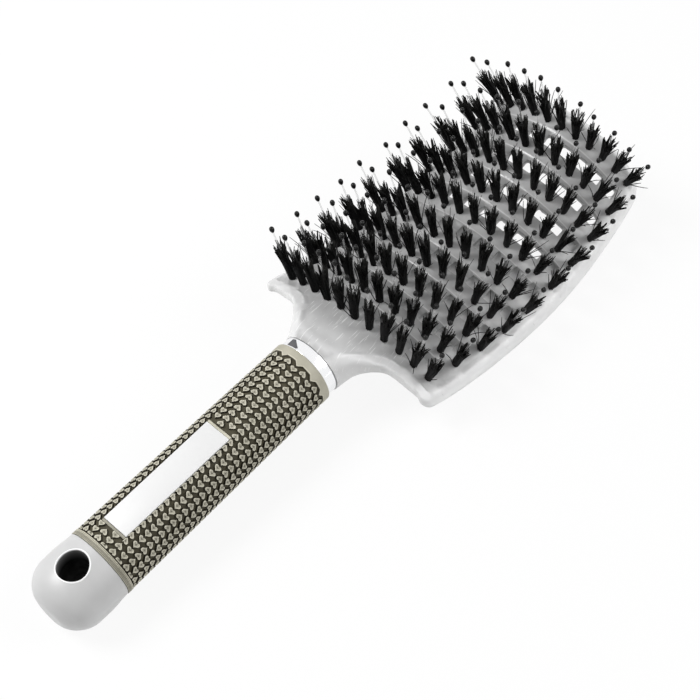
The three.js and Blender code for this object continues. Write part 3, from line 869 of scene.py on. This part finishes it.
def head_plan(outline, vents, nearest_mouth):
    """Triangulates the head's plan with its vents left out."""
    closed = outline + neck_end()
    step = PLAN_STEP
    candidates = []
    for i in range(int((TIP_END - NECK_START) / step)):
        x = NECK_START + (i + 0.5) * step
        candidates += [(x, (j + 0.5 * (i % 2)) * step) for j in range(-28, 29)]
    candidates += edge_rows(outline) + link_rows()
    inside = [p for p in candidates if point_inside(p, closed)]
    away = edge_distances(inside, closed + [closed[0]])
    inside = [p for p, distance in zip(inside, away) if distance > PLAN_EDGE_GAP]
    points = []
    edges = []
    for loop in [closed] + vents:
        numbers = range(len(points), len(points) + len(loop))
        edges += zip(numbers, [*numbers[1:], numbers[0]])
        points += loop
    points += [p for p in inside if nearest_mouth(*p)[2] > PLAN_VENT_GAP]
    made = delaunay_2d_cdt([Vector(p) for p in points], edges, [], WHOLE_HULL, 1e-6)
    plan = [tuple(p) for p in made[0]]
    boxes = [(loop, *np.array(loop).min(axis=0), *np.array(loop).max(axis=0)) for loop in vents]
    faces = []
    for face in made[2]:
        x, y = (sum(plan[k][axis] for k in face) / len(face) for axis in (0, 1))
        near = [loop for loop, x1, y1, x2, y2 in boxes if x1 < x < x2 and y1 < y < y2]
        if point_inside((x, y), closed) and not any(point_inside((x, y), loop) for loop in near):
            faces.append(face)
    return plan, faces


def edge_rows(outline):
    """Rows of points that follow the outline, close enough to carry the rim's profile."""
    rows = []
    for outer in (0.12, 0.35, 0.7, 1.1):
        rows += inner_row(outline, lambda x, inset=outer: inset)
    for past in (-0.5, -0.08, 0.14, 0.5, 0.9, 1.4, RIM_FALL + 0.1):
        rows += inner_row(outline, lambda x, past=past: ridge_inset(x) + past)
    return rows


def inner_row(outline, inset_at):
    """The outline's points, each moved in by the inset that its new place along the brush has."""
    row = []
    for before, here, after in zip(outline, outline[1:], outline[2:]):
        run = (Vector(after) - Vector(before)).normalized()
        x = here[0]
        for _ in range(3):
            x = here[0] - run.y * inset_at(x)
        row.append((x, here[1] + run.x * inset_at(x)))
    return row


def link_rows():
    """Rows of points on both sides of each step between the bars and the cross links."""
    rows = []
    beside = 0.02
    pasts = (LINK_START - LINK_RISE - beside, LINK_START + beside)
    pasts += (LINK_END - beside, LINK_END + LINK_RISE + beside)
    for x in [row_place(row) + past for row in range(ROWS - 1) for past in pasts]:
        count = int((half_width(x) - 3) / LINK_ROW_STEP)
        rows += [(x, j * LINK_ROW_STEP) for j in range(-count, count + 1)]
    return rows


def point_inside(point, loop):
    x, y = point
    inside = False
    for (x1, y1), (x2, y2) in zip(loop, loop[1:] + loop[:1]):
        if (y1 > y) != (y2 > y) and x < (x2 - x1) * (y - y1) / (y2 - y1) + x1:
            inside = not inside
    return inside


def finder(points):
    """A function that finds the nearest of the plan points: its place, number and distance."""
    tree = KDTree(len(points))
    for number, point in enumerate(points):
        tree.insert((*point, 0), number)
    tree.balance()
    return lambda x, y: tree.find((x, y, 0))


def vent_ring(place, grow, depth_at):
    """One vent's edge, widened by grow, at a depth that may change along the brush."""
    return [drawn_point(x, y, depth_at(x)) for x, y in vent_loop(*place, grow)]


def vent_walls(shape):
    """The walls of every vent, with rounded edges; some of the vents end on a floor."""
    for place in vent_places():
        rings = []
        for share, depth in VENT_STAGES:
            rings.append(vent_ring(place, share * VENT_EDGE, lambda x: depth + link_drop(x)))
        under = vent_ring(place, VENT_EDGE + VENT_FLARE, plate_thickness)
        blind = is_blind(*place)
        if blind:
            floor = min(VENT_FLOOR, plate_thickness(row_place(place[0] + 1)) - LEAST_FLOOR)
            rings.append(vent_ring(place, 0.0, lambda x: floor - 0.3))
            rings.append(vent_ring(place, -0.25, lambda x: floor))
            shape.add(under, [tuple(range(len(under)))])
        else:
            for share, rise in reversed(VENT_STAGES[1:]):
                grow = share * VENT_EDGE + VENT_FLARE
                rings.append(vent_ring(place, grow, lambda x: plate_thickness(x) - rise))
            rings.append(under)
        shape.loft(rings, close_last=blind)


def vent_places():
    for gap in range(ROWS - 1):
        for column in range(-(VENT_COLUMNS // 2), VENT_COLUMNS // 2 + 1):
            yield gap, column


def is_blind(gap, column):
    """The vents over the tongue have floors, and at the sides two more of them."""
    return gap < (BLIND_GAPS_AT_SIDES if abs(column) == VENT_COLUMNS // 2 else BLIND_GAPS)


def make_head(material):
    outline = head_outline()
    vents = [vent_loop(*place, VENT_EDGE) for place in vent_places()]
    flared = [p for place in vent_places() for p in vent_loop(*place, VENT_EDGE + VENT_FLARE)]
    nearest_mouth = finder([p for loop in vents for p in loop])
    plan, faces = head_plan(outline, vents, nearest_mouth)
    top = []
    bottom = []
    for (x, y), inset in zip(plan, edge_distances(plan, outline)):
        _, number, distance = nearest_mouth(x, y)
        if distance > PLAN_SAME_POINT:
            top.append((x, y, head_top(x, y, inset)))
            bottom.append(head_bottom_point(x, y, inset))
        else:
            top.append(drawn_point(x, y, link_drop(x)))
            x, y = flared[number]
            bottom.append(drawn_point(x, y, plate_thickness(x)))
    shape = Shape()
    shape.add(top, faces)
    shape.add(bottom, faces)
    count = len(outline) + len(neck_end())
    shape.loft([bottom[:count], top[:count]])
    vent_walls(shape)
    piece = add_piece("head_shell", shape, material)
    mend(piece, 42, weld=0.02)
    store_head_zones(piece, outline)
    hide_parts("head_frame")


def store_head_zones(piece, outline):
    """Keeps, for the material, each point's place along the rows, its share of painted light or
    painted shade, where painted highlights go and where it is worn.
    """
    back = LIE.inverted()
    places = [back @ vertex.co / MM for vertex in piece.data.vertices]
    insets = edge_distances([(p.x, p.y) for p in places], outline)
    rows = []
    for (x, y, z), inset in zip(places, insets):
        past = inset - ridge_inset(x)
        depth = face_height(x, y) - link_drop(x) - z
        on_top = depth < TOP_DEPTH
        # painted light on the rim's band, fading inwards past the ridge
        rim_light = between(RIM_LIGHT_AT_NECK, 1, smooth_step(x, 104, 120))
        rim_light *= 1 - smooth_step(past, 0.1, 3.4)
        # painted light on the neck, fading out before the first row
        neck_light = NECK_PAINTED_LIGHT * (1 - smooth_step(x, HEAD_START - 4, FIRST_ROW))
        # painted light deep down, on the blind vents' floors, and painted shade on the walls just
        # under the face
        floor = FLOOR_PAINTED_LIGHT if depth > VENT_FLOOR - 0.5 else WALL_PAINTED_LIGHT
        # painted light and shade: the most painted light of the rim, neck and lobes on top, and of
        # the rim or the deep parts and walls lower down
        tone = max(rim_light, neck_light, lobe_light(x, y)) if on_top else max(rim_light, floor)
        # where the cross links' painted shade and the bars' painted highlight go
        shaded_field = 1 - side_share(x, y) if on_top and 0 < along(x) < 1 else 0.0
        # painted highlight along the rim's ridge, fading in from the neck
        crest_highlight = CREST_HIGHLIGHT * smooth_step(x, NECK_START + 2, NECK_START + 8)
        ridge = crest_highlight if on_top and CREST_START < past < CREST_END else 0.0
        worn = 1 - smooth_step(x, FIRST_ROW - 2, FIRST_ROW + 5)
        worn *= 1 - smooth_step(abs(y), 18, 26)
        rows.append((row_number(x), shaded_field, tone, ridge, worn))
    for name, values in zip(("row", "shaded_field", "tone", "ridge", "worn"), zip(*rows)):
        store_values(piece, name, values)


def lobe_light(x, y):
    """Painted light: brighter patches painted on the bars between the outer columns of tufts, where
    light reaches.
    """
    if not FIRST_ROW < x < row_place(ROWS - 1):
        return 0.0
    past = x - row_place(int(row_number(x)))
    column = column_number(x, y)
    outer = smooth_step(column, 2.6, 4.4)
    between_tufts = 1 - abs(2 * (column % 1) - 1)
    near_bar = 1 - smooth_step(abs(past - 2.8), 1.2, 2.8)
    return LOBE_PAINTED_LIGHT * outer * smooth_step(between_tufts, 0.1, 0.8) * near_bar


# ---------------------------------------------------------------- tufts and pins

STRAND_SIDES = 3
STRAND_SHARES = (0.0, 0.3, 0.55, 0.78, 1.0)
STRAND_TAPER = (1.0, 1.0, 1.0, 0.95, 0.6)
STRAY_CURL = 1.2
STRAY_THINNING = 0.7
TUFT_SINK = 0.3
# height over the face and radius
TUFT_CORE = ((-0.4, 1.0), (0.15, 1.18), (0.8, 1.25), (5.0, 1.35), (9.5, 1.55), (11.5, 1.0))
TUFT_CORE_SIDES = 10
TUFT_CORE_SHARE = 0.3
# share of the way to the tip and share of the radius
PIN_TAPER = ((0.0, 1.0), (0.6, 0.9), (1.0, 0.8))
PIN_SIDES = 8
BALL_SIDES = 14
BALL_RINGS = 10
GROUPS = 4


def tuft_places():
    for row in range(ROWS):
        nominal = row_place(row)
        for column in range(-(COLUMNS // 2), COLUMNS // 2 + 1):
            y = across_at(nominal, column * column_pitch(nominal))
            x = bowed(nominal, y)
            yield row, Vector((x, y, face_height(x, y))), pin_direction(x, y)


def pin_direction(x, y):
    """The way a tuft points; beyond the last but one column they fan out no further."""
    lean = between(LEAN_AT_NECK, LEAN_AT_TIP, along(x))
    fan = FAN_SHARE * asin(clamped(y, -FAN_LIMIT, FAN_LIMIT) / crown_radius(x))
    flat = cos(lean)
    return Vector((sin(lean), flat * sin(fan), flat * cos(fan)))


def cross_axes(direction):
    side = direction.cross(Vector((1, 0, 0))).normalized()
    return side, direction.cross(side)


def add_strand(shape, centres, radii):
    """A thin strand of few sides; its values are the shares of the way to its tip."""
    rings = []
    for k, (centre, radius) in enumerate(zip(centres, radii)):
        before = centres[max(k - 1, 0)]
        after = centres[min(k + 1, len(centres) - 1)]
        axes = cross_axes((after - before).normalized())
        rings.append(circle(centre, *axes, radius, STRAND_SIDES))
    shape.loft(rings, close_last=True, values=STRAND_SHARES)


def add_tuft_core(shape, base, direction, side, other):
    """A dense middle that closes the gaps between a tuft's bristles low down."""
    rings = []
    for height, radius in TUFT_CORE:
        rings.append(circle(base + direction * height, side, other, radius, TUFT_CORE_SIDES))
    shape.loft(rings, close_last=True, values=[TUFT_CORE_SHARE] * len(TUFT_CORE))


def make_tufts(material):
    chance = random.Random(7)
    groups = [Shape() for _ in range(GROUPS)]
    for row, base, direction in tuft_places():
        shape = groups[row * GROUPS // ROWS]
        side, other = cross_axes(direction)
        add_tuft_core(shape, base, direction, side, other)
        length = BRISTLE_LENGTH * chance.uniform(0.92, 1.03)
        phase = chance.uniform(0, 2 * pi)
        clumps = []
        for k in range(CLUMPS_PER_TUFT):
            turn = phase + 2 * pi * (k + chance.uniform(-0.25, 0.25)) / CLUMPS_PER_TUFT
            out = side * cos(turn) + other * sin(turn)
            reach = TUFT_SPREAD * chance.uniform(0.55, 1.0)
            clumps.append((out, reach, length * chance.uniform(0.92, 1.03)))
        for k in range(BRISTLES_PER_TUFT + STRAYS_PER_TUFT):
            add_bristle(shape, base, direction, clumps, k >= BRISTLES_PER_TUFT, chance)
    for number, shape in enumerate(groups, start=1):
        piece = add_piece(f"bristles_{number}", shape, material)
        store_values(piece, "along", shape.values)
        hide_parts(f"tuft_rows_{number}")


def add_bristle(shape, base, direction, clumps, stray, chance):
    """One bristle: with its tuft low down, then out to the tip of its clump; strays lean out."""
    out, reach, length = chance.choice(clumps)
    side, other = cross_axes(direction)
    turn = chance.uniform(0, 2 * pi)
    round_root = side * cos(turn) + other * sin(turn)
    root = round_root * TUFT_RADIUS * sqrt(chance.uniform(0, 1))
    spread = out * reach + round_root * chance.uniform(0.05, 0.7)
    length *= chance.uniform(0.84, 1.02)
    radius = chance.uniform(0.19, 0.25)
    bow = round_root * chance.uniform(-0.2, 0.4)
    curl = TUFT_CURL
    if stray:
        spread += round_root * chance.uniform(1.5, 5.5)
        length *= chance.uniform(0.7, 1.02)
        radius *= STRAY_THINNING
        bow = round_root * chance.uniform(-1.0, 0.6)
        curl = STRAY_CURL
    centres = []
    for share in STRAND_SHARES:
        place = root.lerp(spread, share**curl) + bow * 4 * share * (1 - share)
        centres.append(base + place + direction * (length * share - TUFT_SINK))
    add_strand(shape, centres, [radius * scale for scale in STRAND_TAPER])


def make_pins(ball_material, shaft_material):
    balls = Shape()
    shafts = Shape()
    chance = random.Random(11)
    for _, base, direction in tuft_places():
        side, other = cross_axes(direction)
        tip = base + direction * (PIN_LENGTH + chance.uniform(-0.3, 0.3))
        tip += side * chance.uniform(-1, 1) + other * chance.uniform(-1, 1)
        add_ball(balls, tip, (tip - base).normalized(), side, other)
        rings = []
        for share, scale in PIN_TAPER:
            centre = base.lerp(tip, share)
            rings.append(circle(centre, side, other, PIN_RADIUS * scale, PIN_SIDES))
        shafts.loft(rings)
    piece = add_piece("pin_balls", balls, ball_material)
    shaft = add_piece("pin_shafts", shafts, shaft_material)
    nodes = [f"tuft_rows_{number}" for number in range(1, GROUPS + 1)]
    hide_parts(*nodes)
    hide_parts(*nodes)


def add_ball(shape, centre, direction, side, other):
    """A drop: round at the top and drawn in towards the shaft."""
    rings = []
    for k in range(1, BALL_RINGS):
        angle = pi * k / BALL_RINGS
        height = -cos(angle)
        radius = BALL_RADIUS * sin(angle) * (0.86 + 0.14 * height)
        middle = centre + direction * height * BALL_LENGTH / 2
        rings.append(circle(middle, side, other, radius, BALL_SIDES))
    shape.loft(rings, close_first=True, close_last=True)


# ---------------------------------------------------------------- grip

FLOOR_STEPS = 28
FLOOR_SIDES = 96
FLANGE_SIDES = 128
FLANGE_RISE = 0.12
FLANGE_GROOVE = 0.2
# painted shade in the flange's grooves
GROOVE_SHADE = 0.3
# shares of half a tooth at which the collar's edge has points
TOOTH_SHARES = (-2, -1.5, -1, -0.67, -0.33, 0, 0.33, 0.67, 1, 1.5)
# distance past the toothed edge or the end, rise over the grip and shade: painted shade at the
# edge's foot and the far end, and a painted highlight just past the toothed edge
COLLAR_EDGE = (
    (0.0, -NUB_HEIGHT - 0.2, 0.0),
    (0.03, -0.1, 0.3),
    (0.12, 0.0, 1.0),
    (0.32, 0.0, 0.95),
    (0.5, 0.0, 0.72),
)
COLLAR_BACK = ((-0.2, 0.0, 0.72), (-0.05, -0.06, 0.72), (0.0, -0.25, 0.6), (0.0, -2.2, 0.3))
HEART_POINTS = 18
# scale of the outline, rise over the grip and shade: painted shade down the walls and in the
# hollow's V, with the top edge brightest as a painted highlight
NUB_STAGES = (
    (1.06, -NUB_HEIGHT, 0.0),
    (1.02, -0.2, 0.0),
    (0.97, -0.05, 0.5),
    (0.9, 0.0, 1.0),
    (0.72, 0.0, 0.95),
    (0.6, -0.09, 0.62),
    (0.34, -0.13, 0.62),
    (0.2, -0.24, 0.25),
)
SMALLEST_NUB = 0.5


def grip_radius(x):
    return between(GRIP_RADIUS_AT_CAP, GRIP_RADIUS_AT_FERRULE, x / GRIP_LENGTH)


def make_grip(groove_material, band_material):
    pieces = [make_grip_floor(groove_material), make_flange(band_material)]
    pieces += [make_collar(band_material), make_nubs(band_material)]
    for piece in pieces:
        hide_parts("grip_sleeve")


def make_grip_floor(material):
    """The grooves' floor, pressed flat under the label."""
    seat = LABEL_HEIGHT - LABEL_THICKNESS + 0.1
    start, end = label_zone()
    first, last = FLANGE_END - 0.3, COLLAR_START + 0.5
    stations = [between(first, last, k / FLOOR_STEPS) for k in range(FLOOR_STEPS + 1)]
    rings = []
    for x in sorted(stations + [start - 0.05, start, end, end + 0.05]):
        ring = handle_ring(x, grip_radius(x) - NUB_HEIGHT, FLOOR_SIDES)
        if start <= x <= end:
            half = LABEL_WIDTH / 2
            ring = [(x, y, min(z, seat) if abs(y) < half else z) for _, y, z in ring]
        rings.append(ring)
    return add_piece("grip_floor", Shape().loft(rings), material, sharp_over=50)


def label_zone():
    """Where the label and its two end bars begin and end."""
    past = BAR_GAP + BAR_LENGTH + LABEL_CLEARANCE
    return LABEL_INSET - past, LABEL_INSET + LABEL_LENGTH + past


def add_shaded(name, shape, material, sharp_over=None):
    piece = add_piece(name, shape, material, sharp_over)
    store_values(piece, "shade", shape.values)
    return piece


def make_flange(material):
    """Fine ridges round the grip's end, next to the cap."""
    outer = GRIP_RADIUS_AT_CAP + FLANGE_RISE
    width = (FLANGE_END - FLANGE_START) / len(FLANGE_SHADES)
    stages = [(FLANGE_START, outer - 2.4, 0.2)]
    for k, shade in enumerate(FLANGE_SHADES):
        x = FLANGE_START + k * width
        stages.append((x, outer - FLANGE_GROOVE, GROOVE_SHADE))
        stages += [(x + share * width, outer, shade) for share in (0.3, 0.7)]
    stages += [(FLANGE_END, outer - 0.25, 0.3), (FLANGE_END + 0.02, outer - 1.2, 0.0)]
    rings = [handle_ring(x, radius, FLANGE_SIDES) for x, radius, _ in stages]
    shape = Shape().loft(rings, values=[shade for *_, shade in stages])
    return add_shaded("grip_flange", shape, material, 60)


def column_angle(column, x):
    """Where a column of nubs runs round the grip; the columns wander a little along it."""
    turn = 2 * pi * column / NUB_COLUMNS
    return FIRST_COLUMN + turn + COLUMN_WANDER * x / GRIP_LENGTH * sin(turn)


def make_collar(material):
    """The smooth band at the ferrule; a tooth reaches in at every second column of nubs."""
    points = []
    for column in range(1, NUB_COLUMNS, 2):
        for share in TOOTH_SHARES:
            angle = column_angle(column, COLLAR_START) + share * pi / NUB_COLUMNS
            points.append((angle, COLLAR_START - COLLAR_TOOTH * max(0.0, 1 - abs(share))))
    outer = GRIP_RADIUS_AT_FERRULE
    rings = []
    for past, rise, _ in COLLAR_EDGE:
        rings.append([around(edge + past, outer + rise, angle) for angle, edge in points])
    for past, rise, _ in COLLAR_BACK:
        rings.append([around(COLLAR_END + past, outer + rise, angle) for angle, _ in points])
    shades = [shade for *_, shade in COLLAR_EDGE + COLLAR_BACK]
    return add_shaded("grip_collar", Shape().loft(rings, values=shades), material, 50)


def heart_outline():
    """A heart with its point towards -u, about its middle."""
    points = []
    for t in spaced_turns(HEART_POINTS):
        up = 13 * cos(t) - 5 * cos(2 * t) - 2 * cos(3 * t) - cos(4 * t)
        points.append(((up + 2.5) / 29 * NUB_LENGTH, sin(t) ** 3 / 2 * NUB_WIDTH))
    return points


def clipped(points, axis, limit, keep_above):
    """The part of a closed outline on one side of a straight line."""
    side = 1 if keep_above else -1
    kept = []
    for here, after in zip(points, points[1:] + points[:1]):
        a = side * (here[axis] - limit)
        b = side * (after[axis] - limit)
        if a >= 0:
            kept.append(here)
        if (a >= 0) != (b >= 0):
            share = a / (a - b)
            kept.append(tuple(between(p, q, share) for p, q in zip(here, after)))
    return kept


def make_nubs(material):
    """Raised hearts with a hollow top, staggered, each column pointing the other way."""
    heart = heart_outline()
    shape = Shape()
    for column in range(NUB_COLUMNS):
        odd = column % 2
        flip = 1 if odd else -1
        for n in range(-odd, NUBS_PER_COLUMN - odd):
            x = FIRST_NUB + NUB_PITCH * (n + odd / 2) + NUB_PITCH_GROWTH * n**2
            angle = column_angle(column, x)
            plan = nub_plan([(x + u * flip, v * flip) for u, v in heart], x, angle)
            if plan:
                add_nub(shape, plan, angle)
    return add_shaded("grip_nubs", shape, material)


def nub_plan(plan, x, angle):
    """A nub's outline as (x, arc) pairs, cut where the flange or the label begins."""
    plan = clipped(plan, 0, FLANGE_END + NUB_CLEARANCE, True)
    start, end = label_zone()
    radius = grip_radius(x)
    half = LABEL_WIDTH / 2 + LABEL_CLEARANCE
    across = abs(radius * sin(angle))
    near_label = cos(angle) > 0 and across < half + NUB_WIDTH
    if near_label and start < x < end:
        from_top = abs(atan2(sin(angle), cos(angle)))
        edge = radius * (asin(half / radius) - from_top)
        left = sin(angle) > 0
        plan = clipped(plan, 1, edge if left else -edge, left)
    elif near_label and across < half and start - NUB_LENGTH < x < end + NUB_LENGTH:
        plan = clipped(plan, 0, start if x < start else end, x > end)
    if len(plan) < 3:
        return None
    spans = [max(values) - min(values) for values in zip(*plan)]
    return plan if min(spans) > SMALLEST_NUB else None


def add_nub(shape, plan, angle):
    """One nub: its outline drawn in towards its middle at each stage."""
    middle = [sum(values) / len(plan) for values in zip(*plan)]
    rings = []
    for scale, rise, _ in NUB_STAGES:
        ring = []
        for place, arc in plan:
            x = between(middle[0], place, scale)
            turn = angle + between(middle[1], arc, scale) / grip_radius(x)
            ring.append(around(x, grip_radius(x) + rise, turn))
        rings.append(ring)
    shape.loft(rings, close_last=True, values=[shade for *_, shade in NUB_STAGES])


def make_label(material, frame_material):
    """The bare plate with softened edges, and the low bars at its two ends."""
    low = LABEL_HEIGHT - LABEL_THICKNESS
    end = LABEL_INSET + LABEL_LENGTH
    corners = (LABEL_INSET, end, low, LABEL_HEIGHT)
    plate = add_plate("label_panel", corners, 0.12, material)
    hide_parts("label_plate")
    first_bar = LABEL_INSET - BAR_GAP - BAR_LENGTH
    for name, x, shade in (("label_bar_1", first_bar, 0.5), ("label_bar_2", end + BAR_GAP, 0.9)):
        corners = (x, x + BAR_LENGTH, low - 0.6, LABEL_HEIGHT - 0.1)
        bar = add_plate(name, corners, 0.15, frame_material)
        store_values(bar, "shade", [shade] * len(bar.data.vertices))
        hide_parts("grip_sleeve")


def add_plate(name, corners, bevel, material):
    """A block as wide as the label, with bevelled edges."""
    start, end, low, high = corners
    half = LABEL_WIDTH / 2
    section = ((-half, low), (half, low), (half, high), (-half, high))
    shape = Shape().loft([[(x, *p) for p in section] for x in (start, end)], True, True)
    piece = add_piece(name, shape, material)
    mend(piece, 50, bevel=bevel)
    return piece


# ---------------------------------------------------------------- ferrule and cap

FERRULE_DEPTH = 2.4
FERRULE_SHOULDER = 0.12
FERRULE_SIDES = 128
SEAM_HALF_WIDTH = 0.008
SEAM_DEPTH = 0.1
SEAM_CLEARANCE = 0.012
# degrees round the ferrule, and where the key begins and ends along it
KEY_SECTIONS = (
    (11.2, 0.8, 1.0),
    (13.7, 0.45, 1.35),
    (18.5, 0.45, 2.0),
    (23.3, 0.47, 2.65),
    (28.1, 0.48, 3.3),
    (31.6, 0.49, 3.25),
    (35.0, 0.5, 3.2),
    (35.9, 0.6, 3.0),
)
CAP_SIDES = 96
CAP_STRAIGHT = CAP_LENGTH - CAP_CORNER
CAP_SHARP_OVER = 35
HOLE_CENTRE = HOLE_INSET - CAP_LENGTH
HOLE_SIDES = 72
# distance out from the hole's wall and rise over the cap
LIP_STAGES = ((-0.06, -0.5), (-0.06, 0.0), (0.06, 0.1), (0.25, 0.1), (0.4, 0.03), (0.45, -0.2))


def make_ferrule(material):
    """A bright ring with crisp shoulders and a fine seam."""
    half = [(0.0, FERRULE_RADIUS - FERRULE_DEPTH), (0.0, FERRULE_RADIUS - FERRULE_SHOULDER)]
    half.append((FERRULE_SHOULDER, FERRULE_RADIUS))
    corners = [(FERRULE_START + x, radius) for x, radius in half]
    corners += [(FERRULE_END - x, radius) for x, radius in reversed(half)]
    turns = [(FERRULE_SEAM + side * SEAM_HALF_WIDTH, 0.0) for side in (-1, 1)]
    turns.append((FERRULE_SEAM, SEAM_DEPTH))
    for turn in spaced_turns(FERRULE_SIDES):
        if abs(turn - pi - FERRULE_SEAM) > SEAM_CLEARANCE:
            turns.append((turn - pi, 0.0))
    turns.sort()
    rings = []
    for x, radius in rounded_profile(corners, 0.1, 3):
        rings.append([around(x, radius - cut, turn) for turn, cut in turns])
    ring = add_piece("ferrule_band", Shape().loft(rings), material, 40)
    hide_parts("ferrule_ring")


def make_key(material):
    """The dark key in the ferrule's notch."""
    low, high = FERRULE_RADIUS - FERRULE_DEPTH, FERRULE_RADIUS + 0.1
    rings = []
    for angle, first, last in KEY_SECTIONS:
        corners = ((first, low), (last, low), (last, high), (first, high))
        turn = radians(angle)
        rings.append([around(FERRULE_START + x, radius, turn) for x, radius in corners])
    key = add_piece("ferrule_stud", Shape().loft(rings, True, True), material)
    mend(key, 50, weld=0.001)
    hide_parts("ferrule_key")


def cap_half_width(x):
    """The cap swells a little from the grip and rounds off at its end."""
    swollen = between(GRIP_RADIUS_AT_CAP, CAP_RADIUS, smooth_step(-x, 1.5, 9.0))
    turn = clamped((-x - CAP_STRAIGHT) / CAP_CORNER)
    return swollen - CAP_CORNER * (1 - sqrt(max(0.0, 1 - turn**2)))


def cap_flattening(x):
    return between(1, CAP_FLATTENING, clamped(-x / CAP_LENGTH))


def cap_height(x, y):
    return cap_flattening(x) * sqrt(cap_half_width(x) ** 2 - y**2)


def cap_crown(y):
    """How far the cap's end bulges out, highest in the middle."""
    return CAP_CROWN * (1 - (y / GRIP_RADIUS_AT_CAP) ** 2)


def make_cap(material, bore_shade_material):
    first = FLANGE_START - 0.05
    second = first - 0.2
    stations = [first, second] + [between(second, -CAP_STRAIGHT, k / 9) for k in range(1, 10)]
    for k in range(1, 17):
        stations.append(-CAP_STRAIGHT - CAP_CORNER * sin(pi / 2 * k / 16))
    rings = []
    for x in stations:
        radius = cap_half_width(x) - (0.2 if x == first else 0)
        share = clamped(-x / CAP_LENGTH)
        ring = []
        for angle in spaced_turns(CAP_SIDES):
            y = radius * cos(angle)
            height = radius * cap_flattening(x) * sin(angle)
            ring.append((x - cap_crown(y) * share**3, y, height))
        rings.append(ring)
    end = rings[-1]
    for share in (0.75, 0.5, 0.25):
        drawn_in = [(y * share, z * share) for _, y, z in end]
        rings.append([(-CAP_LENGTH - cap_crown(y), y, z) for y, z in drawn_in])
    piece = add_piece("cap_shell", Shape().loft(rings, True, True), material)
    mend(piece, CAP_SHARP_OVER, weld=0.001)
    cut_hole(piece, bore_shade_material)
    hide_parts("end_cap")


def hole_circle(out=0.0):
    """The hanging hole's edge in plan, widened by out."""
    radius = HOLE_RADIUS + out
    turns = spaced_turns(HOLE_SIDES)
    return [(HOLE_CENTRE + radius * cos(a), radius * sin(a)) for a in turns]


def make_lips(material):
    """The rounded lips at the hanging hole's two mouths, painted brighter than the cap as a painted
    highlight.
    """
    shape = Shape()
    for side in (1, -1):
        rings = []
        for out, rise in LIP_STAGES:
            plan = hole_circle(out)
            rings.append([(x, y, side * (cap_height(x, y) + rise)) for x, y in plan])
        shape.loft(rings)
    piece = add_piece("hole_lips", shape, material)
    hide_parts("end_cap")


def cut_hole(piece, bore_shade_material):
    """Cuts the hanging hole; its wall gets the second material, painted shade, and knows how far in
    it lies, for the painted light at its mouths.
    """
    top = cap_height(HOLE_CENTRE, 0) + 1.0
    heights = (-top, -top + 4, -top + 8, 0, top - 8, top - 4, top)
    shape = Shape().loft([[(*p, z) for p in hole_circle()] for z in heights], True, True)
    mesh = bpy.data.meshes.new("hole")
    mesh.from_pydata([LIE @ (Vector(point) * MM) for point in shape.points], [], shape.faces)
    cutter = add_object("hole", mesh)
    modifier = piece.modifiers.new("hole", "BOOLEAN")
    modifier.object = cutter
    modifier.solver = "EXACT"
    bpy.context.view_layer.update()
    result = piece.evaluated_get(bpy.context.evaluated_depsgraph_get())
    cut = bpy.data.meshes.new_from_object(result)
    piece.modifiers.clear()
    piece.data = cut
    bpy.data.objects.remove(cutter)
    back = LIE.inverted()
    cut.materials.append(bore_shade_material)
    # the hole's wall takes the painted shade material
    for face in cut.polygons:
        place = back @ face.center / MM
        if hypot(place.x - HOLE_CENTRE, place.y) < HOLE_RADIUS + 0.02:
            face.material_index = 1
    # share of painted light, highest near the mouths
    depths = [abs((back @ vertex.co / MM).z) for vertex in cut.vertices]
    store_values(piece, "mouth_light", [smooth_step(depth, top - 6, top - 1.5) for depth in depths])
    cut.set_sharp_from_angle(angle=radians(CAP_SHARP_OVER))


# ---------------------------------------------------------------- the scene

BEIGE = ((0.52, 0.5, 0.4), (0.64, 0.61, 0.5))
# painted shade for the low parts and walls of the beige pieces
PIT_SHADE_BEIGE = (0.012, 0.009, 0.004)
OLIVE = ((0.034, 0.029, 0.014), (0.062, 0.054, 0.03))
KEY_GREY = ((0.06, 0.06, 0.065), (0.1, 0.1, 0.105))
CORE_GREY = ((0.24, 0.24, 0.23), (0.3, 0.3, 0.29))

make_camera()
make_world()
make_floor()
make_area_light("key", *KEY_LIGHT)
make_area_light("fill", *FILL_LIGHT)
bpy.context.scene.view_settings.view_transform = "Standard"

# tone and roughness as noise scale, detail, low and high; bump as scale, strength and distance
ball_look = plain_look("ball_black", (500, 2, 0.002, 0.008), (900, 2, 0.05, 0.1), IOR=1.3)
shaft_look = plain_look("clear_nylon", (500, 2, 0.66, 0.8), (700, 2, 0.2, 0.35), IOR=1.4, Alpha=0.2)
bump = (1200, 0.03, 0.0001)
label_look = plain_look("label_white", (40, 2, 0.7, 0.73), (500, 3, 0.38, 0.48), bump)
# painted highlight: the hole's lips are painted near white, brighter than the cap
lip_highlight_look = plain_look("lip_painted_highlight", (200, 2, 0.86, 0.92), (500, 2, 0.25, 0.35))
matt = {"Coat_Weight": 0.15, "Coat_Roughness": 0.3, **PEARL}
tone = (70, 3, 0.52, 0.57, (0.35, 0.65))
bump = (700, 0.02, 0.0001)
cap_look = plain_look("cap_plastic", tone, (300, 3, 0.36, 0.48), bump, **matt)
beige = rubber_look("grip_beige", *BEIGE, (0.5, 0.65), PIT_SHADE_BEIGE)

make_head(head_look())
make_tufts(bristle_look())
make_pins(ball_look, shaft_look)
make_grip(rubber_look("grip_olive", *OLIVE, (0.6, 0.8)), beige)
make_label(label_look, beige)
make_ferrule(chrome_look())
make_key(rubber_look("key_grey", *KEY_GREY, (0.4, 0.55)))
make_cap(cap_look, bore_shade_look())
make_lips(lip_highlight_look)
core_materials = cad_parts["handle_core"].data.materials
core_materials.clear()
core_materials.append(rubber_look("core_plastic", *CORE_GREY, (0.5, 0.65)))
